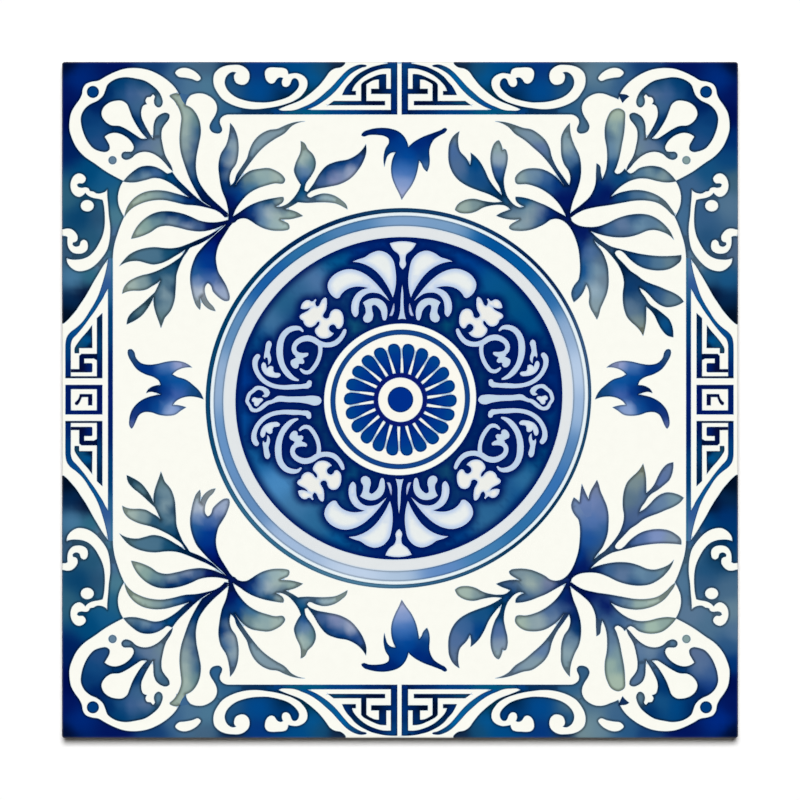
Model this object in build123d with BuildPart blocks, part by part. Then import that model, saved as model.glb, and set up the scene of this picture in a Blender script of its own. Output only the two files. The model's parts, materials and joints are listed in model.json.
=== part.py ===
from build123d import *

import math
import os

# A square glazed ceramic wall tile, dust-pressed and fired as one piece. Millimetres, +Z up.
# The tile lies on its keyed back, with the origin at the middle of the back, on the plane of its ribs.
# The glazed face is the flat top. The edge has an upright band under the rounded arris of the face
# and a drafted skirt below the band, as the pressing die leaves them.

# Overall size: the six inch square of decorative wall tiles, a quarter of an inch thick
tile_side = 152.4
tile_thickness = 6.4

# Edge: the band that a grout joint meets, the arris above it and the drafted skirt below it
arris_radius = 0.4
skirt_height = 3.2
skirt_draft_angle = 5.0
back_bevel_height = 0.2
back_bevel_angle = 45.0
back_corner_radius = 0.15

# Back: square keying cells between straight ribs, as many as leave a plain rim
cell_side = 14.0
rib_width = 3.0
least_rim_width = 6.0
cell_depth = 0.9
cell_draft_angle = 30.0
cell_corner_radius = 1.6
cell_floor_radius = 0.4

# How far the back's edge lies inside the band, which is also what its corners' radius loses on the way
draft_set_in = (skirt_height - back_bevel_height) * math.tan(math.radians(skirt_draft_angle))
bevel_set_in = back_bevel_height * math.tan(math.radians(back_bevel_angle))
band_corner_radius = back_corner_radius + draft_set_in + bevel_set_in

# The flat of the back, and the cells that it has room for
back_side = tile_side - 2 * (draft_set_in + bevel_set_in)
cell_pitch = cell_side + rib_width
cell_count = int((back_side - 2 * least_rim_width + rib_width) // cell_pitch)
rim_width = (back_side - cell_count * cell_pitch + rib_width) / 2

with BuildPart() as tile:
    # The upright band, from the die's parting line up to the glazed face
    with BuildSketch(Plane.XY.offset(skirt_height)) as outline:
        RectangleRounded(tile_side, tile_side, band_corner_radius)
    extrude(amount=tile_thickness - skirt_height)

    # The skirt narrows towards the back, so that the pressed tile leaves the die, and ends in a bevel
    extrude(outline.sketch, amount=back_bevel_height - skirt_height, taper=skirt_draft_angle)
    extrude(tile.faces().sort_by(Axis.Z)[0], amount=back_bevel_height, taper=back_bevel_angle)

    # The face's arris is rounded all round
    fillet(tile.faces().sort_by(Axis.Z)[-1].outer_wire().edges(), radius=arris_radius)

    # The keying cells, sunk into the back with drafted walls
    with BuildSketch(Plane.XY):
        with GridLocations(cell_pitch, cell_pitch, cell_count, cell_count):
            RectangleRounded(cell_side, cell_side, cell_corner_radius)
    extrude(amount=cell_depth, taper=cell_draft_angle, mode=Mode.SUBTRACT)

    # Each cell's floor runs into its walls in a small cove
    cell_floors = tile.faces().filter_by(Plane.XY).group_by(Axis.Z)[1]
    fillet(cell_floors.edges(), radius=cell_floor_radius)

tile.part.label = "tile"
os.makedirs("parts", exist_ok=True)
export_step(tile.part, "parts/tile.step")

print(f"cells {cell_count} a side, rim {rim_width:.2f} mm, skirt set in {draft_set_in:.2f} mm")
print(f"volume {tile.part.volume / 1000:.1f} cm3")
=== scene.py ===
import json
import math

import bpy
import numpy as np
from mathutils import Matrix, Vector, kdtree
from mathutils.geometry import delaunay_2d_cdt

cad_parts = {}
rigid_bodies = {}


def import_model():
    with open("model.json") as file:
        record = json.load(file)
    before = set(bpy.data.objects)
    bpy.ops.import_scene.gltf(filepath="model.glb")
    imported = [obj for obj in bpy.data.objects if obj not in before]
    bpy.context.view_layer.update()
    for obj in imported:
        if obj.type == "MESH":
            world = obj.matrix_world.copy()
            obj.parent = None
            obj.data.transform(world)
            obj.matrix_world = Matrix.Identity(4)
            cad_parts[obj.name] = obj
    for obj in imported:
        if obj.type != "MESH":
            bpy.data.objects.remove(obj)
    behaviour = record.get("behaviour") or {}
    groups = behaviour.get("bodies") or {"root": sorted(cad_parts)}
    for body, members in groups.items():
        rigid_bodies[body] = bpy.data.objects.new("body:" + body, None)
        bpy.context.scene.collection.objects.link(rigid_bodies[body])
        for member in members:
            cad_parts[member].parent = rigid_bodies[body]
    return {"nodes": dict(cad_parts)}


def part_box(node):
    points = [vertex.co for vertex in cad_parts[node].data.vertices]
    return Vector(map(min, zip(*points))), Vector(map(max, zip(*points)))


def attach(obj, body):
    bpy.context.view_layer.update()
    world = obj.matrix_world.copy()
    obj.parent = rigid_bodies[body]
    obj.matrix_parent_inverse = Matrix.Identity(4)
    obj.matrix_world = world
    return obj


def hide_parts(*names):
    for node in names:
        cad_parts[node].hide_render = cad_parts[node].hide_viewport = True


for thing in list(bpy.data.objects):
    bpy.data.objects.remove(thing)
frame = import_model()
bpy.ops.object.select_all(action="DESELECT")
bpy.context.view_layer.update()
low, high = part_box("tile")


# The body: pale buff bisque, pressed from dust and fired once. It is the tile's own shape up to where the
# glaze begins, with the pressed cells in its back, and glaze has run a little way down over its edge.
split_z = 5.6
body = bpy.data.objects.new("Body", frame["nodes"]["tile"].data.copy())
bpy.context.collection.objects.link(body)
body.data.materials.clear()
bpy.context.view_layer.objects.active = body
body.select_set(True)
bpy.ops.object.mode_set(mode="EDIT")
bpy.ops.mesh.select_all(action="SELECT")
bpy.ops.mesh.remove_doubles(threshold=0.000002)
bpy.ops.mesh.bisect(plane_co=(0, 0, split_z / 1000), plane_no=(0, 0, 1), use_fill=True, clear_outer=True)
bpy.ops.mesh.select_all(action="SELECT")
bpy.ops.mesh.normals_make_consistent(inside=False)
bpy.ops.object.mode_set(mode="OBJECT")
bpy.ops.object.shade_smooth_by_angle(angle=math.radians(25))
body.select_set(False)

# What the kiln leaves in clay and glaze alike: a fine grain, and soft clouds a few millimetres wide
fired = bpy.data.node_groups.new("Fired ceramic", "ShaderNodeTree")
fired.interface.new_socket("Place", in_out="INPUT", socket_type="NodeSocketVector")
fired.interface.new_socket("Size", in_out="INPUT", socket_type="NodeSocketFloat")
fired.interface.new_socket("Tint", in_out="OUTPUT", socket_type="NodeSocketColor")
fired.interface.new_socket("Height", in_out="OUTPUT", socket_type="NodeSocketFloat")
nodes, links = fired.nodes, fired.links
given = nodes.new("NodeGroupInput")
result = nodes.new("NodeGroupOutput")
soft = nodes.new("ShaderNodeTexNoise")
soft.inputs["Detail"].default_value = 3
links.new(given.outputs["Place"], soft.inputs["Vector"])
links.new(given.outputs["Size"], soft.inputs["Scale"])
tint = nodes.new("ShaderNodeValToRGB")
tint.color_ramp.elements[0].position = 0.3
tint.color_ramp.elements[0].color = (0.985, 0.985, 0.985, 1)
tint.color_ramp.elements[1].position = 0.6
tint.color_ramp.elements[1].color = (1, 1, 1, 1)
links.new(soft.outputs["Fac"], tint.inputs["Fac"])
links.new(tint.outputs["Color"], result.inputs["Tint"])
links.new(soft.outputs["Fac"], result.inputs["Height"])

clay = bpy.data.materials.new("Bisque")
clay.use_nodes = True
nodes, links = clay.node_tree.nodes, clay.node_tree.links
shader = nodes["Principled BSDF"]
where = nodes.new("ShaderNodeTexCoord")
grain = nodes.new("ShaderNodeGroup")
grain.node_tree = fired
grain.inputs["Size"].default_value = 1600
links.new(where.outputs["Object"], grain.inputs["Place"])
hue = nodes.new("ShaderNodeMix")
hue.data_type = "RGBA"
hue.blend_type = "MULTIPLY"
hue.inputs["Factor"].default_value = 1.0
hue.inputs["A"].default_value = (0.78, 0.70, 0.58, 1)
links.new(grain.outputs["Tint"], hue.inputs["B"])
parts = nodes.new("ShaderNodeSeparateXYZ")
links.new(where.outputs["Object"], parts.inputs["Vector"])
drip = nodes.new("ShaderNodeTexNoise")
drip.inputs["Scale"].default_value = 120
links.new(where.outputs["Object"], drip.inputs["Vector"])
edge = nodes.new("ShaderNodeMath")
edge.operation = "MULTIPLY_ADD"
edge.inputs[1].default_value = 0.0035
edge.inputs[2].default_value = 0.0028
links.new(drip.outputs["Fac"], edge.inputs[0])
over = nodes.new("ShaderNodeMath")
over.operation = "GREATER_THAN"
links.new(parts.outputs["Z"], over.inputs[0])
links.new(edge.outputs["Value"], over.inputs[1])
coat = nodes.new("ShaderNodeMix")
coat.data_type = "RGBA"
links.new(over.outputs["Value"], coat.inputs["Factor"])
links.new(hue.outputs["Result"], coat.inputs["A"])
coat.inputs["B"].default_value = (0.93, 0.93, 0.88, 1)
links.new(coat.outputs["Result"], shader.inputs["Base Color"])
gloss = nodes.new("ShaderNodeMapRange")
gloss.inputs["To Min"].default_value = 0.85
gloss.inputs["To Max"].default_value = 0.15
links.new(over.outputs["Value"], gloss.inputs["Value"])
links.new(gloss.outputs["Result"], shader.inputs["Roughness"])
rough = nodes.new("ShaderNodeBump")
rough.inputs["Strength"].default_value = 0.2
rough.inputs["Distance"].default_value = 0.00005
links.new(grain.outputs["Height"], rough.inputs["Height"])
links.new(rough.outputs["Normal"], shader.inputs["Normal"])
body.data.materials.append(clay)
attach(body, "root")
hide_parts("tile")


# The ground: a square of ivory glaze, which the print is laid on. The drawing's hand is set out here too: a
# mark is a closed line in millimetres from the tile's middle, with drops of colour that blend inside it.
# The whole print lies print_shift away from where its marks are drawn.
marks = []
print_shift = np.array([0.0, -0.05])

IVORY = (254, 254, 245)
MILK = (236, 241, 240)
PALE = (190, 209, 238)
BLEED = (182, 206, 226)
THREAD = (198, 218, 234)
LILAC = (160, 172, 210)
SAGE = (160, 181, 172)
COBALT = (0, 50, 130)
NAVY = (2, 22, 92)
INK = (0, 12, 48)


def run(points, closed=False, step=0.5):
    """A smooth line through given points; their further values, such as a width, run along with it."""
    p = np.array(points, float)
    ahead = np.roll(p, -1, axis=0) - p
    gap = np.maximum(np.hypot(ahead[:, 0], ahead[:, 1]), 1e-6)[:, None]
    slope = ahead / gap
    before, gap_before = np.roll(slope, 1, axis=0), np.roll(gap, 1, axis=0)
    way = (slope * gap_before + before * gap) / (gap + gap_before)
    if not closed:
        way[0] = slope[0] if len(p) == 2 else 2 * slope[0] - way[1]
        way[-1] = slope[-2] if len(p) == 2 else 2 * slope[-2] - way[-2]
    line = []
    for i in range(len(p) if closed else len(p) - 1):
        j = (i + 1) % len(p)
        u = np.arange(max(1, math.ceil(gap[i, 0] / step)))[:, None] / max(1, math.ceil(gap[i, 0] / step))
        line.append(
            (2 * u**3 - 3 * u**2 + 1) * p[i]
            + (u**3 - 2 * u**2 + u) * gap[i] * way[i]
            + (3 * u**2 - 2 * u**3) * p[j]
            + (u**3 - u**2) * gap[i] * way[j]
        )
    return np.vstack(line + ([] if closed else [p[-1:]]))


def outline(points):
    """A closed line through given points, smooth except at each point that has a third value."""
    corners = [i for i, p in enumerate(points) if len(p) == 3]
    if not corners:
        return run(points, closed=True)
    points = points[corners[0]:] + points[: corners[0] + 1]
    cuts = [i for i, p in enumerate(points) if len(p) == 3]
    parts = [[p[:2] for p in points[a:b + 1]] for a, b in zip(cuts, cuts[1:])]
    return np.vstack([run(part, step=1.5 if len(part) == 2 else 0.5)[:-1] for part in parts])


def band(points):
    """The outline of a brush stroke along a middle line whose points are x, y and the width there."""
    line = run(points)
    way = np.gradient(line[:, :2], axis=0)
    way /= np.hypot(way[:, 0], way[:, 1])[:, None]
    side = np.column_stack([-way[:, 1], way[:, 0]])
    half = line[:, 2:3] / 2
    turn = np.linspace(-math.pi / 2, math.pi / 2, 7)[1:-1, None]
    end = line[-1, :2] + half[-1] * (np.cos(turn) * way[-1] + np.sin(turn) * side[-1])
    start = line[0, :2] - half[0] * (np.cos(turn) * way[0] + np.sin(turn) * side[0])
    return np.vstack([line[:, :2] - side * half, end, (line[:, :2] + side * half)[::-1], start])


def ellipse(x, y, rx, ry):
    """A closed ellipse about x, y."""
    turn = np.linspace(0, 2 * math.pi, max(20, int(2 * math.pi * rx / 0.6)), endpoint=False)
    return np.column_stack([x + rx * np.cos(turn), y + ry * np.sin(turn)])


def lay(line, drops, rim=None, spread=0.4, places=(None,)):
    """Lay a mark inside a line. drops is one colour or a list of x, y, colour. rim is the colour that gathers
    at its edge, or how dark the mark's own colour gets there, and spread is how far in it reaches."""
    line = outline(line) if isinstance(line, list) else line
    drops = [(*line.mean(axis=0), drops)] if isinstance(drops, tuple) else drops
    for place in places:
        put = place or (lambda p: p)
        spots = put(np.array([d[:2] for d in drops], float)) + print_shift
        marks.append((put(line) + print_shift, spots, [d[2] for d in drops], rim, spread))


def brush(points, drops, rim=None, spread=0.4, places=(None,)):
    """Lay a stroke of the brush."""
    lay(band(points), drops, rim, spread, places)


def reserve(line, places):
    """Leave the ground white inside a line. The cobalt bleeds a little way in."""
    lay(line, IVORY, BLEED, 0.18, places)


def leaf(line, drops, places):
    """Lay leaves in the spray's wash, which gathers and darkens along their edges."""
    lay(line, drops, 0.6, 0.8, places)


# The medallion's rings and its cobalt field. They are printed round the middle, each a little off centre as
# the copper plate's rings are, and the pale ring's wash is darker towards the upper right.
tilt_x, tilt_y = 0.0145, 0.0066


def leaning(p):
    """The plate's own lean, which makes the rings a little longer along one diagonal."""
    return np.column_stack([p[:, 0] + tilt_x * p[:, 1], p[:, 1] + tilt_y * p[:, 0]])


rings = [leaning]
lay(ellipse(-0.36, 0.45, 43.45, 42.85), [
    (0, 43, (20, 70, 115)), (-22, 37, (0, 45, 100)), (-37, 22, (0, 70, 120)), (-43, 0, (10, 80, 130)),
    (-30, -30, (60, 125, 165)), (-8, -42, (90, 145, 180)), (12, -42, (50, 105, 150)),
    (30, -30, (5, 60, 105)), (42, -8, (30, 85, 130)), (42, 10, (70, 110, 160)), (31, 31, (5, 40, 95)),
    (15, 41, (20, 70, 125)),
], 0.6, 0.5, rings)
lay(ellipse(-0.2, 0.4, 42.6, 41.95), (238, 247, 250), (200, 220, 235), 0.3, rings)
lay(ellipse(-0.2, 0.4, 41.8, 41.2), [
    (0, 41, (130, 165, 205)), (-12, 39, (82, 132, 182)), (-22, 35, (44, 112, 165)), (-31, 28, (26, 94, 166)),
    (-38, 17, (96, 142, 188)), (-41, 5, (150, 178, 212)), (-40, -10, (104, 148, 198)),
    (-34, -23, (100, 142, 190)), (-25, -33, (165, 190, 222)), (-8, -40, (195, 213, 236)),
    (0, -41, (178, 200, 224)), (10, -40, (96, 138, 196)), (20, -35, (68, 128, 180)),
    (28, -31, (45, 112, 168)), (36, -20, (54, 114, 180)), (39.5, -11, (82, 130, 182)),
    (41, -4, (160, 188, 222)), (41, 7, (190, 210, 235)), (38, 15, (150, 178, 212)), (33, 24, (40, 105, 168)),
    (28, 30, (0, 88, 158)), (21, 36, (0, 80, 152)), (11, 40, (125, 162, 200)),
], 0.75, 0.5, rings)
lay(ellipse(-0.4, 0.4, 39.45, 38.9), (229, 233, 235), (205, 220, 235), 0.35, rings)
lay(ellipse(-0.25, 0.43, 36.85, 36.35), [
    (0, 33, COBALT), (-8, 34, (0, 55, 140)), (-14.9, 31.3, (0, 85, 140)), (-19.5, 27, (85, 122, 168)),
    (-22.5, 25, (50, 100, 145)), (-26, 22, (35, 95, 135)), (-29.3, 18, (70, 118, 160)),
    (-32.5, 14, (5, 70, 130)), (-9.5, 17.2, (20, 90, 122)), (-17, 17, (0, 35, 95)),
    (-22, 17.8, (0, 40, 105)), (16, 31, (0, 62, 140)), (20.5, 26.5, (8, 84, 140)), (24.5, 22, (5, 80, 130)),
    (28.5, 17, (0, 75, 130)), (32.5, 11, (0, 55, 115)), (9.8, 17.5, (5, 80, 115)), (34, 4, (0, 50, 125)),
    (34, -6, (0, 60, 122)), (31.5, -13, (0, 72, 125)), (28, -18, (48, 112, 158)),
    (23.5, -22.5, (50, 108, 150)), (19.5, -26.5, (45, 104, 150)), (26.5, -23.5, (0, 66, 132)),
    (21, -17.5, (0, 38, 112)), (13, -31, (0, 62, 132)), (0, -34, COBALT), (-12, -31, (5, 85, 145)),
    (-18.5, -27, (42, 104, 150)), (-23, -23, (62, 118, 164)), (-27, -18.5, (75, 140, 195)),
    (-31.5, -12, (20, 95, 155)), (-34, -4, (5, 75, 150)), (-34, 5, (0, 60, 145)),
    (10.5, -16.5, (20, 80, 115)), (-10.5, -16.5, (10, 75, 120)), (18, 6, (5, 55, 105)),
    (-18.5, 6, (5, 62, 110)), (18, -6, (2, 50, 105)), (-18.5, -6, (10, 62, 105)), (0, 22, NAVY),
    (0, -22, NAVY), (25, 9, (0, 32, 110)), (-25, 9, (0, 32, 110)), (25, -9, (0, 32, 110)),
    (-25, -9, (0, 32, 110)), (30, 2.5, (0, 40, 120)), (-30, 2.5, (0, 40, 120)),
], (0, 22, 92), 2.4, rings)


# The palmettes above and below the rosette, reserved in the field: the glaze's own white, with a pale rim
# where the cobalt bled in. The medallion leans a little, so each half is mirrored across leaning axes.
waist_y = 0.3


def seat(across, along):
    """The place of a quarter's copy: right or left across, above or below along. The engraver's copies aren't
    quite alike: they widen a little to the left and hang a little lower below."""
    def put(p):
        x = (p[:, 0] - tilt_x * (p[:, 1] - waist_y)) * across
        y = (p[:, 1] - tilt_y * p[:, 0] - waist_y) * along
        y = y + waist_y + tilt_y * x
        fall = 0.12 * np.clip(-0.1 * y, 0, 1) + 0.003 * x * np.clip(0.05 * y, 0, 1)
        x = (x + tilt_x * (y - waist_y)) * (1 - 0.00012 * abs(y)) + 0.004 * abs(y) + 0.003 * np.minimum(x, 0)
        return np.column_stack([x, 1.004 * y - fall])

    return put


halves = [seat(1, 1), seat(1, -1)]
quarters = [seat(1, 1), seat(-1, 1), seat(1, -1), seat(-1, -1)]
lay([
    (-2.42, 35.25, 0), (0.45, 35.7), (3.5, 35.2, 0), (2.5, 33.7), (1.3, 32.7), (1.1, 31.4), (1.26, 30.6),
    (0.5, 29.4, 0), (-0.26, 30.5), (-0.1, 31.6), (-0.4, 32.7), (-1.6, 33.7),
], MILK, PALE, 0.5, halves)
lay([
    (2.37, 23.1, 0), (1.8, 26), (1.97, 29.2), (2.7, 31.7), (4.1, 33.1), (5.9, 33.6), (7.6, 33.1),
    (9.2, 32.1), (10.26, 31.8), (11.7, 31.2, 0), (10, 30.95), (7.9, 30.1), (5.8, 28.5), (3.95, 26.1),
], MILK, PALE, 1.5, quarters)
lay([
    (3.1, 22.3, 0), (4.6, 24.4), (6.6, 26.65), (8.95, 28.5), (10.8, 29.3), (12.6, 29.55), (14.7, 29),
    (16.3, 27.85), (17.15, 26.15), (16.85, 24.7), (15.9, 23.5), (14.87, 23), (14.4, 23.2, 0), (13.95, 24),
    (12.9, 24.95), (11.3, 25.55), (9.5, 25.6), (8, 25.25, 0), (9.2, 24.95), (10.3, 24.3), (11.3, 22.85),
    (11.65, 21.3), (11.3, 19.4), (10.65, 18.75), (10.1, 19.3), (10, 20.75), (9.75, 22.3), (8.95, 23.5),
    (7.9, 24.1), (6.6, 24.2), (5.25, 23.9), (4.2, 23.2),
], MILK, PALE, 1.5, quarters)
lay([
    (4, 17.95), (3.5, 19.4), (3.6, 20.7), (4.2, 21.9), (5.26, 22.7), (6.84, 22.95), (8.16, 22.6),
    (9.08, 22, 0), (8.55, 21), (8.37, 19.7), (8.9, 18.6), (8.7, 17.85), (7.9, 17.5), (6.97, 17.97),
    (6.66, 19.2), (6.97, 20.5), (6.97, 21.26), (6.6, 21.5), (5.8, 21.1), (5, 20.1), (4.6, 18.6), (4.3, 18),
], (200, 218, 232), PALE, 0.6, quarters)
lay([
    (2.05, 21.8, 0), (1.93, 20.7), (2.1, 19.6), (2.4, 19), (3.03, 19, 0), (2.6, 20.1), (2.3, 21.2),
], PALE, LILAC, 0.3, quarters)
lay([
    (0.4, 25.9, 0), (0.62, 24.2), (0.74, 21), (0.92, 19.4), (1.26, 18.15, 0), (0.4, 18.3), (-0.53, 18.1, 0),
    (-0.1, 19.7), (0.05, 22.3), (0.18, 24.2),
], (190, 212, 232), PALE, 0.5, halves)


# The buds at the medallion's sides, each a stem that bends round a small flower, between two long hooks and
# pairs of leaves, reserved like the palmettes.
sides = [seat(1, 1), seat(-1, 1)]
lay([
    (17.6, 0.1), (18.1, 0.95), (19.3, 1.25), (22, 1.15), (25, 1.15), (27.9, 1.12), (28.4, 0.7), (29.1, 0.35),
    (29.9, 0.2, 0), (29.3, -0.5), (28.4, -0.25), (27.5, 0), (25, -0.1), (22.7, -0.2), (20.8, -0.5),
    (19, -0.92), (18, -0.6),
], THREAD, PALE, 0.5, sides)
brush([
    (28.9, 0, 0.7), (29.7, -0.2, 0.9), (30.4, -0.7, 0.95), (31.2, -1.35, 0.9), (32.2, -1.85, 0.75),
    (33.2, -1.65, 0.85), (33.8, -0.7, 0.7), (34.35, 0.2, 0.8), (34.2, 1, 0.85), (33.85, 1.9, 0.85),
    (33.1, 2.5, 0.85), (32.4, 3.1, 0.95), (31.4, 3.15, 0.85), (30.5, 2.75, 1.05), (29.95, 2, 1.35),
    (30.2, 1.5, 0.95), (30.8, 1.35, 0.35),
], THREAD, PALE, 0.4, sides)
lay([
    (30.75, 0.45), (31, 0.85), (31.5, 0.9), (31.9, 0.85), (32.3, 0.95), (32.7, 1.1), (33.1, 0.95),
    (33.35, 0.55), (33.2, 0.15), (32.8, -0.05), (32.8, -0.45), (32.6, -0.85), (32.2, -0.95), (31.8, -0.75),
    (31.4, -0.2), (31.1, 0.05),
], (220, 232, 240), PALE, 0.4, sides)
brush([
    (20.5, 4.2, 1.1), (20.6, 3.75, 1.3), (22, 3.4, 1), (24, 3.3, 1.1), (26.5, 3.25, 0.95), (29, 3.75, 0.95),
    (31, 4.95, 1), (32.3, 6.6, 1), (32.9, 8.5, 1.15), (32.75, 9.6, 1.25), (32.35, 10.2, 1.15),
], THREAD, PALE, 0.5, quarters)
brush([
    (22.4, 15.75, 0.4), (23.1, 16.35, 0.8), (24.2, 16.45, 1.1), (25.6, 16, 1.25), (26.7, 14.9, 1.35),
    (27.25, 13.6, 1.4), (27.45, 12, 1.5), (27.3, 10, 1.4), (26.65, 8, 1.25), (25.6, 6.45, 1.25),
    (24.3, 5.3, 0.95), (23.1, 4.8, 0.45),
], THREAD, PALE, 0.5, quarters)
lay([
    (29.83, 13.7), (29.28, 13), (29.5, 12), (29.65, 11), (29.4, 10.2), (29.28, 9.4), (29.45, 8.8),
    (29.9, 8.3, 0), (30, 9.4), (30.2, 9.95), (30.55, 9.95), (30.8, 9.55, 0), (30.95, 10.1), (30.83, 11),
    (30.7, 12), (30.6, 12.9), (30.3, 13.5),
], THREAD, PALE, 0.4, quarters)
lay([
    (27, 6), (27.3, 6.4), (27.9, 6.5), (28.45, 6.6), (28.7, 7), (28.75, 7.8), (29.1, 8.05), (29.67, 7.95),
    (30.17, 7.5, 0), (30.33, 8.1), (30.55, 8.65), (31, 8.9), (31.4, 8.45), (31.4, 7.67), (31.1, 6.9),
    (30.55, 6.2), (29.67, 5.7), (28.55, 5.45), (27.44, 5.5),
], (220, 232, 240), PALE, 0.5, quarters)


# The scrolls on the diagonals: a tendril that rolls up round a sprig, with a five-lobed flower above it. They
# are reserved in the field too, and the flower is left almost as white as the glaze.
brush([
    (12.95, 15.75, 0.8), (13.15, 15.2, 0.95), (13.75, 14.15, 1.05), (15, 13, 1.15), (17, 12.6, 1.1),
    (18.5, 12.95, 1.2), (20, 13.85, 1.25), (21.5, 14.15, 1.3), (23, 13.7, 1.2), (24, 12.8, 1.1),
    (24.25, 11.9, 1.05), (23.85, 10.9, 1.05), (22.6, 10.5, 0.75), (21.25, 10.5, 0.6),
], THREAD, PALE, 0.5, quarters)
brush([
    (18.4, 12.6, 1), (18.3, 11, 0.9), (18.8, 9, 0.95), (19.65, 7.55, 0.95), (20.6, 6.6, 0.9),
    (21.5, 6.5, 0.85), (22.3, 6.95, 0.65), (22.55, 7.2, 0.5),
], THREAD, PALE, 0.5, quarters)
lay([
    (20.95, 10.75), (21.06, 10.33), (21.56, 9.94), (22, 9.8), (22.2, 9.55, 0), (21.83, 9.1), (21.8, 8.67),
    (22.2, 8.39), (22.8, 8.5), (23.1, 8.33, 0), (23.06, 7.83), (23.4, 7.44), (24, 7.44), (24.56, 7.9),
    (24.9, 8.67), (24.8, 9.2), (24.2, 9.56), (23.67, 9.83, 0), (23.95, 10.2), (23.5, 10.9), (22.2, 10.85),
], THREAD, PALE, 0.5, quarters)
lay([
    (17.55, 23.25), (18.25, 22.8), (18.67, 22), (18.97, 21.4), (19.33, 21.22), (19.7, 21.6), (19.8, 22.25),
    (19.58, 22.75), (19.83, 22.9), (20.25, 22.45), (20.6, 22.33), (21.2, 22.67), (21.83, 22.67),
    (22.4, 22.33), (22.83, 21.75), (23.03, 20.83, 0), (22.3, 20.65), (21.6, 20.75), (20.83, 21.05, 0),
    (21.3, 20.4), (22, 20), (22.67, 19.67), (23.1, 19.33), (23.25, 19), (22.9, 18.4), (22.4, 18.1),
    (22.25, 17.6), (21.67, 16.9), (20.83, 16.6), (20.17, 16.75), (19.5, 17.25), (19.1, 17.8), (18.85, 17.9),
    (18.7, 17.67), (18.75, 17.25), (19.17, 16.67), (19.58, 16.25), (19.67, 15.75), (19.33, 15),
    (18.67, 14.33), (17.67, 14.05), (16.67, 14.17), (15.9, 14.6), (15.4, 15.2, 0), (16, 15.5), (16.45, 16),
    (16.52, 16.5), (16.17, 17), (15.6, 17.2), (15.1, 16.9), (14.75, 16.3), (14.33, 16.15), (13.75, 16.5),
    (13.37, 17.17), (13.3, 18.17), (13.5, 19.33), (14, 20.17), (14.67, 20.55), (15.4, 20.58), (16.1, 20.17),
    (16.47, 19.4), (16.58, 18.83), (17, 18.52), (17.58, 18.6), (18, 19.05), (17.83, 19.58), (17.4, 20.33),
    (17.2, 21.33), (17.2, 22.5), (17.32, 23.05),
], (240, 241, 236), PALE, 0.6, quarters)


# The rosette: a white disc with a thin blue ring, and twenty-two petals round a ring and a dot. Each petal is
# one touch of cobalt, darker towards the middle, and they lean a little round the way they turn.
petal_count = 22
first_petal, petal_lean = 0.87, 0.022
reserve(ellipse(0.02, 0.19, 17.15, 17.1), rings)
lay(ellipse(0.04, 0.19, 15.72, 15.72), (20, 70, 140), 0.6, 0.3, rings)
lay(ellipse(0.04, 0.19, 14.6, 14.6), (254, 252, 242), BLEED, 0.2, rings)
for k in range(petal_count):
    turn = 2 * math.pi * (k + first_petal) / petal_count

    def place(p, turn=turn):
        way = turn + petal_lean * (p[:, 1] - 9.0) / 3
        east, north = np.cos(way), np.sin(way)
        return np.column_stack([
            0.08 + p[:, 1] * east - p[:, 0] * north,
            0.12 + p[:, 1] * north + p[:, 0] * east,
        ])

    lay([
        (-0.55, 5.5, 0), (-0.55, 6.2), (-0.76, 7.5), (-1.04, 9), (-1.32, 10.5), (-1.38, 11.4), (-1.06, 12.3),
        (0, 12.72), (1.06, 12.3), (1.38, 11.4), (1.32, 10.5), (1.04, 9), (0.76, 7.5), (0.55, 6.2),
        (0.55, 5.5, 0),
    ], [(0, 11.5, (0, 66, 142)), (0, 9.5, (0, 54, 142)), (0, 6.5, (0, 38, 128))], (0, 30, 100), 0.4, [place])
lay(ellipse(0.1, 0.12, 6.05, 6.05), (10, 25, 110), None, 0.3)
lay(ellipse(0.1, 0.1, 5.02, 5.02), (254, 251, 240), BLEED, 0.2)
lay(ellipse(0.1, 0.15, 2.87, 2.87), (0, 48, 142), (0, 25, 85), 0.4)


# The border's fields: one dark wash round each corner, from the middle of one side's fret to the next, with
# the tile's edge cutting it off outside. It runs from navy at the corner to steel where it was laid on thin.
frame_x, frame_y = -0.12, 0.14


def corner(across, along):
    """The place of a corner's copy, mirrored across the frame's own axes."""
    return lambda p: np.column_stack([
        across * (p[:, 0] - frame_x) + frame_x,
        along * (p[:, 1] - frame_y) + frame_y,
    ])


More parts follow.
